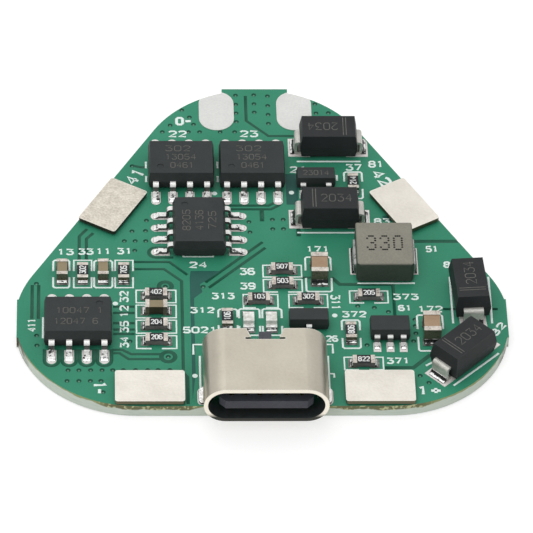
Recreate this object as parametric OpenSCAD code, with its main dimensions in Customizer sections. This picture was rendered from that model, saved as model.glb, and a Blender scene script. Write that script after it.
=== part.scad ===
// Battery management board for three round cells in a triangle, with a USB-C charging port.
// Lengths are in millimetres. The origin is on the underside, at the centre of the triangle.
// +Z is up, +Y points from the port to the output pads, and +X is to the right.

/* [Board] */
// Distance between the axes of neighbouring cells
cell_pitch = 18.2; // [18:0.1:22]
// Radius of the board's three round corners
corner_r = 8.85; // [8.8:0.05:11]
// Thickness of the laminate
board_t = 1.0; // [0.8:0.1:2]
// Depth of the flats on the left and right corners
side_trim = 0.1; // [0.05:0.05:0.5]
// Length of those flats, where the board was broken from its panel
side_stub_l = 3.9; // [3:0.1:5]
// Length of the flat at the far corner
far_stub_l = 5.0; // [3:0.1:6]
// How far that flat stands out past the round corner
far_stub_out = 0.1; // [0:0.05:0.3]

/* [Lands and solder] */
// Thickness of the tinned copper lands
land_t = 0.05; // [0.03:0.01:0.1]
// How far a land runs out past the toe of a lead
toe_margin = 0.45; // [0.3:0.05:0.6]
// How far a land is wider than its lead, on each side
land_side = 0.08; // [0.04:0.01:0.12]
// How far an eight-lead chip's round-ended land runs out past the toe
so8_land_out = 0.55; // [0.4:0.05:0.65]
// Width of an eight-lead chip's land
so8_land_w = 0.7; // [0.6:0.05:0.8]
// Rise of a solder fillet up a lead or an end cap
fillet_rise = 0.2; // [0.1:0.05:0.3]
// Width of the two output pads
output_pad_w = 2.65; // [2:0.05:3.4]
// Length of the output pads before the board's edge cuts them
output_pad_l = 4.3; // [3:0.1:5]
// Distance of each output pad from the centre line
output_pad_x = 2.95; // [2:0.05:4]

/* [Cell tabs] */
// Length of the nickel tabs along the board's edge
tab_l = 5.0; // [3:0.1:6]
// Width of the nickel tabs
tab_w = 3.1; // [2:0.1:4]
// Thickness of the nickel tabs
tab_t = 0.3; // [0.15:0.05:0.6]
// Corner radius of the nickel tabs
tab_corner_r = 0.2; // [0.1:0.05:0.5]
// Thickness of the solder under the tabs
tab_solder_t = 0.15; // [0.05:0.05:0.3]
// Gap between the tabs' outer sides and the board's edge
tab_edge_gap = 0.05; // [0:0.05:0.5]
// Distance of the two front tabs from the centre line
front_tab_x = 8.25; // [8.2:0.05:9]

/* [Small outline chips] */
// Length of the eight-lead bodies
so8_l = 4.9; // [4.7:0.05:5.2]
// Width of the eight-lead bodies
so8_w = 3.9; // [3.7:0.05:4.1]
// Height of the eight-lead bodies
so8_h = 1.45; // [1.25:0.05:1.6]
// Distance across the toes of the eight-lead chips
so8_span = 6.0; // [5.8:0.05:6.3]
// Distance between neighbouring leads
so8_pitch = 1.27; // [1.2:0.01:1.3]
// Width of an eight-lead chip's lead
so8_lead_w = 0.42; // [0.33:0.01:0.5]
// Thickness of an eight-lead chip's lead
so8_lead_t = 0.2; // [0.15:0.01:0.25]
// Slope of the eight-lead bodies' long sides, in degrees
so8_slope = 17; // [5:1:25]
// Gap between the two transistors that stand side by side
transistor_gap = 0.4; // [0.3:0.05:1]

/* [Small transistors and regulator] */
// Length of the small bodies
sot_l = 2.9; // [2.7:0.05:3.1]
// Width of the three-lead bodies
sot3_w = 1.3; // [1.2:0.05:1.4]
// Distance across the toes of the three-lead bodies
sot3_span = 2.4; // [2.1:0.05:2.6]
// Height of the three-lead bodies
sot3_h = 1.0; // [0.85:0.05:1.2]
// Width of the six-lead body
sot6_w = 1.6; // [1.5:0.05:1.75]
// Distance across the toes of the six-lead body
sot6_span = 2.8; // [2.6:0.05:3]
// Height of the six-lead body
sot6_h = 1.05; // [0.9:0.05:1.25]
// Distance between neighbouring leads of the small bodies
sot_pitch = 0.95; // [0.9:0.01:1]
// Width of a small body's lead
sot_lead_w = 0.4; // [0.3:0.01:0.5]
// Thickness of a small body's lead
sot_lead_t = 0.13; // [0.1:0.01:0.18]
// Gap between a gull-wing chip's body and its lands
standoff = 0.1; // [0.05:0.01:0.2]

/* [Diodes] */
// Length of the diode bodies
diode_l = 4.3; // [4:0.05:4.6]
// Width of the diode bodies
diode_w = 2.6; // [2.4:0.05:2.8]
// Height of the diode bodies
diode_h = 2.0; // [1.9:0.05:2.3]
// Width of a diode's terminals
diode_term_w = 1.45; // [1.25:0.05:1.65]
// Thickness of a diode's terminals
diode_term_t = 0.2; // [0.15:0.01:0.3]
// How far the terminals stand out of each end of the body
diode_term_out = 0.4; // [0.35:0.05:0.5]
// Turn of the corner diode about the vertical
corner_diode_turn = 45; // [30:1:60]

/* [Coil] */
// Length of the moulded coil from terminal to terminal
coil_l = 4.2; // [4:0.05:4.5]
// Width of the coil
coil_w = 4.45; // [4:0.05:4.6]
// Height of the coil
coil_h = 1.75; // [1.5:0.05:2.5]
// Radius of the coil's upright corners
coil_corner_r = 0.3; // [0.2:0.05:0.6]
// Width of the coil's terminals
coil_term_w = 2.6; // [1.2:0.05:3]
// Thickness of the coil's terminals
coil_term_t = 0.15; // [0.1:0.01:0.2]

/* [Chip resistors, capacitors and lamps] */
// Length of a small chip
chip_l = 1.6; // [1.45:0.05:1.7]
// Width of a small chip
chip_w = 0.8; // [0.7:0.05:0.9]
// Height of a chip resistor
resistor_h = 0.45; // [0.35:0.01:0.55]
// Height of a small chip capacitor
capacitor_h = 0.8; // [0.6:0.05:0.9]
// Length of an end cap along the chip
end_cap_l = 0.3; // [0.2:0.01:0.4]
// Thickness of the end caps' metal
end_cap_t = 0.04; // [0.03:0.01:0.06]
// Gap between neighbouring small chips that stand side by side
chip_gap = 0.7; // [0.6:0.05:0.8]
// Length of a large chip capacitor
big_chip_l = 2.0; // [1.9:0.05:2.2]
// Width of a large chip capacitor
big_chip_w = 1.25; // [1.1:0.05:1.4]
// Height of a large chip capacitor
big_chip_h = 1.25; // [0.8:0.05:1.4]
// Height of a lamp's base
lamp_base_h = 0.25; // [0.2:0.01:0.35]
// Height of a lamp's clear lens
lamp_lens_h = 0.35; // [0.2:0.01:0.5]

/* [USB-C port] */
// Outer width of the port's shell
shell_w = 8.94; // [8.9:0.01:9.1]
// Outer height of the port's shell
shell_h = 3.16; // [3.1:0.01:3.3]
// Wall of the shell's sheet steel
shell_wall = 0.3; // [0.2:0.01:0.32]
// Depth of the shell from its mouth to its rear edge
shell_depth = 6.2; // [6:0.05:7.5]
// How far the mouth stands out past the board's front edge
shell_overhang = 1.5; // [0.8:0.05:1.8]
// Width of the floor of the notch in the rear edge of the shell's top
shell_notch_w = 1.9; // [1.5:0.05:3]
// Depth of that notch
shell_notch_d = 1.1; // [0.6:0.05:1.4]
// Distance from the board's front edge to the middle of the solder stakes
stake_from_edge = 0.9; // [0.85:0.05:1.5]
// Length of a solder stake along the shell
stake_l = 1.1; // [0.8:0.05:1.3]
// Clearance between a stake and its slot in the board
stake_clear = 0.15; // [0.1:0.01:0.2]
// Width of the contact tongue
tongue_w = 6.69; // [6.4:0.01:6.8]
// Thickness of the contact tongue
tongue_t = 0.7; // [0.6:0.01:0.75]
// Set-back of the tongue's tip from the mouth
tongue_back = 0.1; // [0.05:0.05:0.8]
// Width of a contact
contact_w = 0.35; // [0.2:0.01:0.5]
// Thickness of a contact
contact_t = 0.12; // [0.08:0.01:0.2]
// Distance between neighbouring contacts
contact_pitch = 1.0; // [0.8:0.05:1.1]
// Clearance between the port's moulding and the shell's round ends
moulding_clear = 0.05; // [0.03:0.01:0.1]

/* [Hidden] */
$fn = 48;
eps = 0.01;

mask_green = "#3d8769";
tin = "#e8e6df";
nickel = "#e6e2d7";
epoxy = "#3a3c3e";
glass_black = "#2b2b2d";
ceramic_white = "#e9e7e2";
capacitor_tan = "#a58c73";
coil_grey = "#969084";
shell_steel = "#c8c1b4";
moulding_black = "#44444a";
gold = "#d9b45a";

// Corner centres of the triangle, which are also the axes of the cells below.
lobe_d = cell_pitch / sqrt(3);
far_lobe = [0, lobe_d];
left_lobe = [-cell_pitch / 2, -lobe_d / 2];
right_lobe = [cell_pitch / 2, -lobe_d / 2];
edge_d = lobe_d / 2 + corner_r;
front_y = -edge_d;
edge_margin = 0.12;
pad_edge_margin = 0.05;
far_edge_y = lobe_d + corner_r + far_stub_out;
side_edge_x = cell_pitch / 2 + corner_r - side_trim;

// Heights above the underside.
top_z = board_t;
land_z = top_z + land_t;
tab_z = top_z + tab_solder_t;

// Bends of the formed leads and terminals.
so8_bend_r = 0.12;
so8_shoulder = 0.12;
sot_bend_r = 0.07;
sot_shoulder = 0.06;
arc_steps = 4;

// Draft of the moulded bodies, as a share of the height.
draft = tan(9);

// Where the parts stand, measured from the corner or edge that they belong to.
output_pad_from_lobe = 6.46;
transistor_mid = far_lobe + [-3.07, -0.3];
transistor_step = (so8_l + transistor_gap) / 2;
transistor_left_at = transistor_mid - [transistor_step, 0];
transistor_right_at = transistor_mid + [transistor_step, 0];
transistor_right_edge = transistor_right_at.x + so8_l / 2;
protection_gap = 1.26;
protection_at = [-4.48, transistor_mid.y - so8_span / 2 - protection_gap - so8_l / 2];
protection_turn = -90;
charger_at = left_lobe + [-4.3, -1.1];
charger_turn = 180;

switch_far_at = [transistor_right_edge + 0.85 + sot_l / 2, far_lobe.y - 1.54];
switch_near_at = [3.33, -5.93];
regulator_at = right_lobe + [0.08, -1.63];

diode_far_at = [transistor_right_edge + 1.2 + diode_l / 2, far_lobe.y + 2.36];
diode_side_at = right_lobe + [6.05, 1.97];
side_diode_turn = 94;
diode_corner_at = right_lobe + [5.25, -4.2];
coil_at = right_lobe + [-0.03, 5.87];
// The middle diode stands between the coil and the far switch, a little nearer the coil.
coil_far_y = coil_at.y + coil_w / 2;
switch_far_near_y = switch_far_at.y - sot3_span / 2;
mid_room = switch_far_near_y - coil_far_y - diode_w;
mid_share = 0.41;
diode_mid_at = [diode_far_at.x - 0.15, coil_far_y + mid_share * mid_room + diode_w / 2];
big_mid_at = [4.28, -0.68];
big_side_at = right_lobe + [3.13, -1.53];

chip_step = chip_w + chip_gap;
row_at = left_lobe + [-5.47, 4.55];
column_at = left_lobe + [1.38, 2.27];
column_step = chip_step + 0.05;
lamp_at = [-1.02, -5.68];
lamp_step = 1.65;
// Each small chip is [x, y, turn].
capacitor_places = [
    [row_at.x, row_at.y, 90],
    [row_at.x + 2 * chip_step, row_at.y, 90],
    [column_at.x, column_at.y - column_step, 0]];
resistor_places = [
    [row_at.x + chip_step, row_at.y, 90],
    [row_at.x + 3 * chip_step, row_at.y, 90],
    [column_at.x, column_at.y, 0],
    [column_at.x, column_at.y - 2 * column_step, 0],
    [column_at.x, column_at.y - 3 * column_step, 0],
    [1.55, -0.35, 0],
    [1.55, -0.35 - chip_step, 0],
    [-0.22, -3.48, 0],
    [3.38, -3.48, 0],
    [lamp_at.x - lamp_step + 0.1, -5.48, 90],
    [right_lobe.x - 1.27, right_lobe.y + 2.17, 0],
    [right_lobe.x - 2.72, right_lobe.y - 1.63, 90],
    [right_lobe.x - 1.92, right_lobe.y - 4.63, 0],
    [far_lobe.x + 7.13, far_lobe.y - 1.69, 90]];
lamp_places = [[lamp_at.x, lamp_at.y, 90], [lamp_at.x + lamp_step, lamp_at.y, 90]];

// The port, from its mouth to its solder tails.
mouth_y = front_y - shell_overhang;
shell_rear_y = mouth_y + shell_depth;
shell_mid_z = top_z + shell_h / 2;
bore_w = shell_w - 2 * shell_wall;
bore_h = shell_h - 2 * shell_wall;
stake_y = front_y + stake_from_edge;
stake_lap = 0.03;
stake_x = shell_w / 2 - shell_wall / 2 - stake_lap;
stake_depth = board_t * 0.8;
stake_top_z = shell_mid_z - shell_h / 12;
slot_w = shell_wall + 2 * stake_clear;
slot_l = stake_l + 2 * stake_clear;
slot_land = 0.27;
window_l = stake_l + 0.3;
window_w = 1.3;
window_h = shell_h * 0.3;
notch_flare = 0.4;
slit_l = 0.5;
slit_w = 0.2;

// The moulding fills the rear of the shell, stops short of its rear edge and carries the tongue.
moulding_l = 1.6;
moulding_back = 0.85;
moulding_rear_y = shell_rear_y - moulding_back;
moulding_y = moulding_rear_y - moulding_l;
foot_w = 6.4;
foot_l = 1.8;
moulding_fit = 0.01;
rib_w = 0.9;
rib_back = 0.05;

contact_count = 6;
contact_xs = [for (i = [0:contact_count - 1]) (i - (contact_count - 1) / 2) * contact_pitch];
contact_tip_y = mouth_y + tongue_back + 0.6;
contact_proud = 0.03;
contact_end_y = moulding_y + moulding_l / 2;
contact_high = shell_mid_z + tongue_t / 2 + contact_proud;
contact_low = shell_mid_z - tongue_t / 2 - contact_proud;
tail_out = 0.9;
tail_end_y = shell_rear_y + tail_out;
tail_land_out = 0.15;
// Side views of a contact, as [y, z] points.
upper_contact = [[contact_tip_y, contact_high - contact_t], [contact_tip_y, contact_high],
                 [contact_end_y, contact_high], [contact_end_y, contact_high - contact_t]];
lower_contact = [[contact_tip_y, contact_low], [contact_tip_y, contact_low + contact_t],
                 [contact_end_y + contact_t, contact_low + contact_t],
                 [contact_end_y + contact_t, land_z + contact_t],
                 [tail_end_y, land_z + contact_t], [tail_end_y, land_z],
                 [contact_end_y, land_z], [contact_end_y, contact_low]];

// ---------- shared shapes ----------

// Points of an arc about c, from angle a to angle b.
function arc(c, r, a, b) =
    [for (i = [0:arc_steps]) c + r * [cos(a + (b - a) * i / arc_steps), sin(a + (b - a) * i / arc_steps)]];

module rounded_rect(l, w, r) {
    square([l - 2 * r, w], center = true);
    square([l, w - 2 * r], center = true);
    for (x = [-1, 1], y = [-1, 1])
        translate([x * (l / 2 - r), y * (w / 2 - r)])
            circle(r);
}

// A slot or pad with full round ends, along X.
module obround(l, w) {
    square([l - w, w], center = true);
    for (x = [-1, 1])
        translate([x * (l - w) / 2, 0])
            circle(w / 2);
}

module place(at, turn = 0, z = 0) {
    translate([at.x, at.y, z])
        rotate(turn)
            children();
}

module slab(z, h) {
    translate([0, 0, z])
        linear_extrude(h)
            children();
}

// Side view of a moulded body: drafted above and below an upright band where the leads come out.
module moulded_side(s, h, z_band, band, slope) {
    low = s / 2 - (z_band - band / 2) * slope;
    high = s / 2 - (h - z_band - band / 2) * slope;
    polygon([[-low, 0], [low, 0],
             [s / 2, z_band - band / 2], [s / 2, z_band + band / 2],
             [high, h], [-high, h],
             [-s / 2, z_band + band / 2], [-s / 2, z_band - band / 2]]);
}

// A body drafted on all four sides: where the two side views overlap.
module moulded_body(l, w, h, z_band, band, end_slope, side_slope) {
    intersection() {
        rotate([90, 0, 0])
            linear_extrude(2 * w, center = true)
                moulded_side(l, h, z_band, band, end_slope);
        rotate([90, 0, 90])
            linear_extrude(2 * l, center = true)
                moulded_side(w, h, z_band, band, side_slope);
    }
}

// Side view of a gull-wing lead: out of the body at height z, down and out to its toe.
module gull_side(reach, z, t, r, shoulder) {
    knee = [shoulder, z - t / 2 - r];
    ankle = [shoulder + 2 * r + t, t + r];
    polygon(concat(
        [[0, z - t / 2], [0, z + t / 2]],
        arc(knee, r + t, 90, 0),
        arc(ankle, r, 180, 270),
        [[reach, t], [reach, 0]],
        arc(ankle, r + t, 270, 180),
        arc(knee, r, 0, 90)));
}

module gull_lead(reach, z, w, t, r, shoulder) {
    rotate([90, 0, 0])
        linear_extrude(w, center = true)
            gull_side(reach, z, t, r, shoulder);
}

// A land that starts under the foot of a lead or end cap and runs out past its toe, along +X.
module toe_land(inner, outer, w) {
    translate([(inner + outer) / 2, 0])
        square([outer - inner, w], center = true);
}

// Solder that slopes from an upright face at x down to the edge of its land.
module toe_fillet(x, run, rise, w) {
    translate([x, 0, 0])
        rotate([90, 0, 0])
            linear_extrude(w, center = true)
                polygon([[0, 0], [run, 0], [run * 0.4, rise * 0.35], [0, rise]]);
}

// ---------- eight-lead chips ----------
// Local frame: leads on the two sides at +Y and -Y, first at z = 0 on the lands.

so8_band_z = so8_h * 0.45;
so8_reach = (so8_span - so8_w) / 2;
// Each chip is [place, turn].
so8_chips = [[charger_at, charger_turn], [transistor_left_at, 0], [transistor_right_at, 0],
             [protection_at, protection_turn]];
dimple_r = 0.28;
dimple_depth = 0.05;
dimple_in = 0.9;
so8_rows = [for (i = [-1.5, -0.5, 0.5, 1.5]) i * so8_pitch];

// A lead's land with a round outer end, drawn in on all sides by inset.
module so8_land(inset) {
    inner = so8_shoulder + so8_bend_r;
    end_r = so8_land_w / 2;
    straight = so8_reach + so8_land_out - end_r - inner;
    translate([inner + straight / 2, 0])
        square([straight, so8_land_w - 2 * inset], center = true);
    translate([inner + straight, 0])
        circle(end_r - inset);
}

module so8_body(at, turn) {
    color(epoxy)
        place(at, turn, land_z + standoff)
            difference() {
                moulded_body(so8_l, so8_w, so8_h, so8_band_z, so8_lead_t, draft, tan(so8_slope));
                translate([dimple_in - so8_l / 2, dimple_in - so8_w / 2, so8_h - dimple_depth])
                    cylinder(h = 1, r = dimple_r);
            }
}

module so8_each_lead(at, turn, z = 0) {
    place(at, turn, z)
        for (side = [0, 180], x = so8_rows)
            rotate(side)
                translate([x, so8_w / 2, 0])
                    rotate(90)
                        children();
}

module so8_leads(at, turn) {
    color(tin)
        so8_each_lead(at, turn, land_z)
            gull_lead(so8_reach, standoff + so8_band_z, so8_lead_w, so8_lead_t, so8_bend_r, so8_shoulder);
}

// ---------- three-lead and six-lead chips ----------

module sot_body(at, turn, w, h) {
    color(epoxy)
        place(at, turn, land_z + standoff)
            moulded_body(sot_l, w, h, h / 2, sot_lead_t, draft, draft);
}

// rows lists each lead as [x, side], with side 1 at +Y and -1 at -Y.
module sot_each_lead(at, turn, w, rows, z = 0) {
    place(at, turn, z)
        for (lead = rows)
            rotate(lead[1] > 0 ? 0 : 180)
                translate([lead[0] * lead[1], w / 2, 0])
                    rotate(90)
                        children();
}

module sot_leads(at, turn, w, span, h, rows) {
    color(tin)
        sot_each_lead(at, turn, w, rows, land_z)
            gull_lead((span - w) / 2, standoff + h / 2, sot_lead_w, sot_lead_t, sot_bend_r, sot_shoulder);
}

three_rows = [[0, 1], [-sot_pitch, -1], [sot_pitch, -1]];
six_rows = [for (x = [-1, 0, 1], side = [-1, 1]) [x * sot_pitch, side]];
// Each chip is [place, turn, body width, span, leads].
sot_chips = [[regulator_at, 0, sot6_w, sot6_span, six_rows],
             [switch_far_at, 0, sot3_w, sot3_span, three_rows],
             [switch_near_at, 180, sot3_w, sot3_span, three_rows]];

function sot_reach(chip) = (chip[3] - chip[2]) / 2;

// ---------- diodes ----------

diode_band_z = diode_h * 0.45;
diode_lift = diode_term_t;
diode_foot = 1.2;
diode_reach = diode_l / 2 + diode_term_out;
diode_land_side = 0.5;
// Each diode is [place, turn].
diodes = [[diode_far_at, 0], [diode_mid_at, 0], [diode_side_at, side_diode_turn],
          [diode_corner_at, corner_diode_turn]];

module diode_body(at, turn) {
    color(epoxy)
        place(at, turn, land_z + diode_lift)
            moulded_body(diode_l, diode_w, diode_h, diode_band_z, diode_term_t, draft, draft);
}

// Side view of a terminal that comes out of the body's end and folds down and back under it.
module diode_terminal_side() {
    r = 0.06;
    t = diode_term_t;
    z = diode_lift + diode_band_z;
    start = diode_l / 2;
    bend_x = diode_reach - t - r;
    polygon(concat(
        [[start, z - t / 2], [start, z + t / 2]],
        arc([bend_x, z - t / 2 - r], r + t, 90, 0),
        arc([bend_x, t + r], r + t, 0, -90),
        [[diode_reach - diode_foot, 0], [diode_reach - diode_foot, t]],
        arc([bend_x, t + r], r, -90, 0),
        arc([bend_x, z - t / 2 - r], r, 0, 90)));
}

module diode_terminals(at, turn) {
    color(tin)
        place(at, turn, land_z)
            for (side = [0, 180])
                rotate([90, 0, side])
                    linear_extrude(diode_term_w, center = true)
                        diode_terminal_side();
}

// ---------- coil ----------

coil_edge = 0.18;
coil_foot = 1.0;
coil_term_h = coil_h * 0.55;
coil_land_out = 0.25;

// Side view of the coil's block, with its upper edges rounded.
module coil_profile(s) {
    x = s / 2 - coil_edge;
    polygon(concat([[-s / 2, 0], [s / 2, 0]],
                   arc([x, coil_h - coil_edge], coil_edge, 0, 90),
                   arc([-x, coil_h - coil_edge], coil_edge, 90, 180)));
}

module coil_body() {
    color(coil_grey)
        place(coil_at, 0, land_z + coil_term_t)
            intersection() {
                linear_extrude(coil_h)
                    rounded_rect(coil_l, coil_w, coil_corner_r);
                rotate([90, 0, 0])
                    linear_extrude(2 * coil_w, center = true)
                        coil_profile(coil_l);
                rotate([90, 0, 90])
                    linear_extrude(2 * coil_l, center = true)
                        coil_profile(coil_w);
            }
}

module coil_terminals() {
    inner = coil_l / 2;
    outer = inner + coil_term_t;
    color(tin)
        place(coil_at, 0, land_z)
            for (side = [0, 180])
                rotate([90, 0, side])
                    linear_extrude(coil_term_w, center = true)
                        polygon([[inner, coil_term_t], [inner, coil_term_h], [outer, coil_term_h],
                                 [outer, 0], [inner - coil_foot, 0], [inner - coil_foot, coil_term_t]]);
}

module coil_lands() {
    place(coil_at)
        for (side = [0, 180])
            rotate(side)
                toe_land(coil_l / 2 - coil_foot, coil_l / 2 + coil_term_t + coil_land_out,
                         coil_term_w + 2 * land_side);
}

// ---------- chips with end caps ----------

big_cap_l = end_cap_l * 1.4;
chip_land_out = toe_margin * 0.75;

// The ceramic of a chip, inside its end caps.
module chip_core(l, w, h, wrap_sides) {
    side = wrap_sides ? end_cap_t : 0;
    translate([-l / 2 + end_cap_t, -w / 2 + side, end_cap_t])
        cube([l - 2 * end_cap_t, w - 2 * side, h - 2 * end_cap_t]);
}

// Both end caps: the chip's outer block, less its middle and its ceramic.
module chip_caps(l, w, h, cap_l, wrap_sides) {
    difference() {
        translate([-l / 2, -w / 2, 0])
            cube([l, w, h]);
        chip_core(l, w + (wrap_sides ? 0 : 1), h, wrap_sides);
        translate([-l / 2 + cap_l, -w, -1])
            cube([l - 2 * cap_l, 2 * w, h + 2]);
    }
}

// The two ends of a piece that lies along X before it is turned.
module each_end(at, turn, z = 0) {
    place(at, turn, z)
        for (end = [0, 180])
            rotate(end)
                children();
}

module each_place(places, z = 0) {
    for (p = places)
        place([p[0], p[1]], p[2], z)
            children();
}

// ---------- board ----------

// A triangle with round corners of radius r.
module rounded_triangle(r) {
    right_normal = [cos(30), sin(30)];
    left_normal = [-cos(30), sin(30)];
    polygon([left_lobe + [0, -r], right_lobe + [0, -r],
             right_lobe + r * right_normal, far_lobe + r * right_normal,
             far_lobe + r * left_normal, left_lobe + r * left_normal]);
    for (c = [far_lobe, left_lobe, right_lobe])
        translate(c)
            circle(r, $fn = 180);
}

// The stubs where the board was broken from its panel, one at each corner.
module panel_stubs() {
    translate([0, far_edge_y])
        square([far_stub_l, corner_r], center = true);
    for (side = [-1, 1])
        translate([side * side_edge_x, right_lobe.y])
            square([corner_r, side_stub_l], center = true);
}

// The board's area, smaller by inset all round; stubs and round corners end in the same flats.
module board_outline(inset = 0) {
    trim_x = side_edge_x - inset;
    intersection() {
        union() {
            rounded_triangle(corner_r - inset);
            panel_stubs();
        }
        translate([-trim_x, front_y - 1])
            square([2 * trim_x, far_edge_y - inset - front_y + 1]);
    }
}

module stake_places() {
    for (side = [-1, 1])
        translate([side * stake_x, stake_y])
            rotate(90)
                children();
}

module circuit_board() {
    color(mask_green)
        linear_extrude(board_t)
            difference() {
                board_outline();
                stake_places()
                    obround(slot_l, slot_w);
            }
}

module component_lands() {
    color(tin)
        slab(top_z, land_t)
            intersection() {
                board_outline(edge_margin);
                union() {
                    for (c = so8_chips)
                        so8_each_lead(c[0], c[1])
                            so8_land(0);
                    for (c = sot_chips)
                        sot_each_lead(c[0], c[1], c[2], c[4])
                            toe_land(sot_shoulder + sot_bend_r, sot_reach(c) + toe_margin,
                                     sot_lead_w + 2 * land_side);
                    for (d = diodes)
                        each_end(d[0], d[1])
                            toe_land(diode_reach - diode_foot, diode_reach + toe_margin,
                                     diode_term_w + diode_land_side);
                    coil_lands();
                    for (p = concat(capacitor_places, resistor_places, lamp_places))
                        each_end([p[0], p[1]], p[2])
                            toe_land(chip_l / 2 - end_cap_l, chip_l / 2 + chip_land_out, chip_w + land_side);
                    for (at = [big_mid_at, big_side_at])
                        each_end(at, 90)
                            toe_land(big_chip_l / 2 - big_cap_l, big_chip_l / 2 + chip_land_out,
                                     big_chip_w + land_side);
                    port_lands();
                }
            }
}

// Solder that holds the toes, the end caps and the port.
module solder_joints() {
    margin = 0.05;
    color(tin) {
        for (c = so8_chips)
            so8_each_lead(c[0], c[1], land_z)
                intersection() {
                    linear_extrude(so8_h)
                        so8_land(margin);
                    toe_fillet(so8_reach, so8_land_out - margin, so8_lead_t, so8_land_w);
                }
        for (c = sot_chips)
            sot_each_lead(c[0], c[1], c[2], c[4], land_z)
                toe_fillet(sot_reach(c), toe_margin - margin, sot_lead_t, sot_lead_w);
        for (p = concat(capacitor_places, resistor_places, lamp_places))
            each_end([p[0], p[1]], p[2], land_z)
                toe_fillet(chip_l / 2, chip_land_out - margin, fillet_rise, chip_w);
        for (at = [big_mid_at, big_side_at])
            each_end(at, 90, land_z)
                toe_fillet(big_chip_l / 2, chip_land_out - margin, 2 * fillet_rise, big_chip_w);
        intersection() {
            slab(land_z, board_t)
                board_outline(edge_margin + margin);
            for (d = diodes)
                each_end(d[0], d[1], land_z)
                    toe_fillet(diode_reach, toe_margin - margin, 2 * fillet_rise, diode_term_w);
        }
        each_end(coil_at, 0, land_z)
            toe_fillet(coil_l / 2 + coil_term_t, coil_land_out - margin, 2 * fillet_rise, coil_term_w);
        stake_solder();
    }
}

module output_pads() {
    color(tin)
        slab(top_z, land_t)
            intersection() {
                board_outline(pad_edge_margin);
                for (side = [-1, 1])
                    translate([side * output_pad_x, far_lobe.y + output_pad_from_lobe])
                        rotate(90)
                            obround(output_pad_l, output_pad_w);
            }
}

// ---------- nickel tabs ----------

// turn 0 is the front edge; the outer side of a tab runs along the board's edge.
module tab_place(turn, x) {
    rotate(turn)
        translate([x, tab_edge_gap - edge_d + tab_w / 2])
            children();
}

module nickel_tab(turn, x) {
    color(nickel)
        tab_place(turn, x)
            slab(tab_z, tab_t)
                rounded_rect(tab_l, tab_w, tab_corner_r);
}

module tab_minus() { nickel_tab(0, -front_tab_x); }
module tab_plus() { nickel_tab(0, front_tab_x); }
module tab_left() { nickel_tab(-120, 0); }
module tab_right() { nickel_tab(120, 0); }

module tab_solder() {
    inset = 0.1;
    color(tin)
        for (t = [[0, -front_tab_x], [0, front_tab_x], [-120, 0], [120, 0]])
            tab_place(t[0], t[1])
                slab(top_z, tab_solder_t)
                    rounded_rect(tab_l - 2 * inset, tab_w - 2 * inset, tab_corner_r);
}

module charger_body() { so8_body(charger_at, charger_turn); }
module charger_leads() { so8_leads(charger_at, charger_turn); }
module transistor_left_body() { so8_body(transistor_left_at, 0); }
module transistor_left_leads() { so8_leads(transistor_left_at, 0); }
module transistor_right_body() { so8_body(transistor_right_at, 0); }
module transistor_right_leads() { so8_leads(transistor_right_at, 0); }
module protection_body() { so8_body(protection_at, protection_turn); }
module protection_leads() { so8_leads(protection_at, protection_turn); }

module regulator_body() { sot_body(regulator_at, 0, sot6_w, sot6_h); }
module regulator_leads() { sot_leads(regulator_at, 0, sot6_w, sot6_span, sot6_h, six_rows); }
module switch_far_body() { sot_body(switch_far_at, 0, sot3_w, sot3_h); }
module switch_far_leads() { sot_leads(switch_far_at, 0, sot3_w, sot3_span, sot3_h, three_rows); }
module switch_near_body() { sot_body(switch_near_at, 180, sot3_w, sot3_h); }
module switch_near_leads() { sot_leads(switch_near_at, 180, sot3_w, sot3_span, sot3_h, three_rows); }

module diode_far_body() { diode_body(diode_far_at, 0); }
module diode_far_terminals() { diode_terminals(diode_far_at, 0); }
module diode_mid_body() { diode_body(diode_mid_at, 0); }
module diode_mid_terminals() { diode_terminals(diode_mid_at, 0); }
module diode_side_body() { diode_body(diode_side_at, side_diode_turn); }
module diode_side_terminals() { diode_terminals(diode_side_at, side_diode_turn); }
module diode_corner_body() { diode_body(diode_corner_at, corner_diode_turn); }
module diode_corner_terminals() { diode_terminals(diode_corner_at, corner_diode_turn); }

module big_capacitor(at) {
    color(capacitor_tan)
        place(at, 90, land_z)
            chip_core(big_chip_l, big_chip_w, big_chip_h, true);
}

module big_capacitor_ends(at) {
    color(tin)
        place(at, 90, land_z)
            chip_caps(big_chip_l, big_chip_w, big_chip_h, big_cap_l, true);
}

module large_capacitor_mid() { big_capacitor(big_mid_at); }
module large_capacitor_mid_ends() { big_capacitor_ends(big_mid_at); }
module large_capacitor_side() { big_capacitor(big_side_at); }
module large_capacitor_side_ends() { big_capacitor_ends(big_side_at); }

module small_capacitors() {
    color(capacitor_tan)
        each_place(capacitor_places, land_z)
            chip_core(chip_l, chip_w, capacitor_h, true);
}

module small_capacitor_ends() {
    color(tin)
        each_place(capacitor_places, land_z)
            chip_caps(chip_l, chip_w, capacitor_h, end_cap_l, true);
}

module resistor_chips() {
    color(ceramic_white)
        each_place(resistor_places, land_z)
            chip_core(chip_l, chip_w, resistor_h, false);
}

module resistor_coats() {
    color(glass_black)
        each_place(resistor_places, land_z + resistor_h - end_cap_t)
            translate([-chip_l / 2 + end_cap_l, -chip_w / 2, 0])
                cube([chip_l - 2 * end_cap_l, chip_w, end_cap_t]);
}

module resistor_ends() {
    color(tin)
        each_place(resistor_places, land_z)
            chip_caps(chip_l, chip_w, resistor_h, end_cap_l, false);
}

module lamp_bases() {
    color(ceramic_white)
        each_place(lamp_places, land_z)
            chip_core(chip_l, chip_w, lamp_base_h, false);
}

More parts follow.
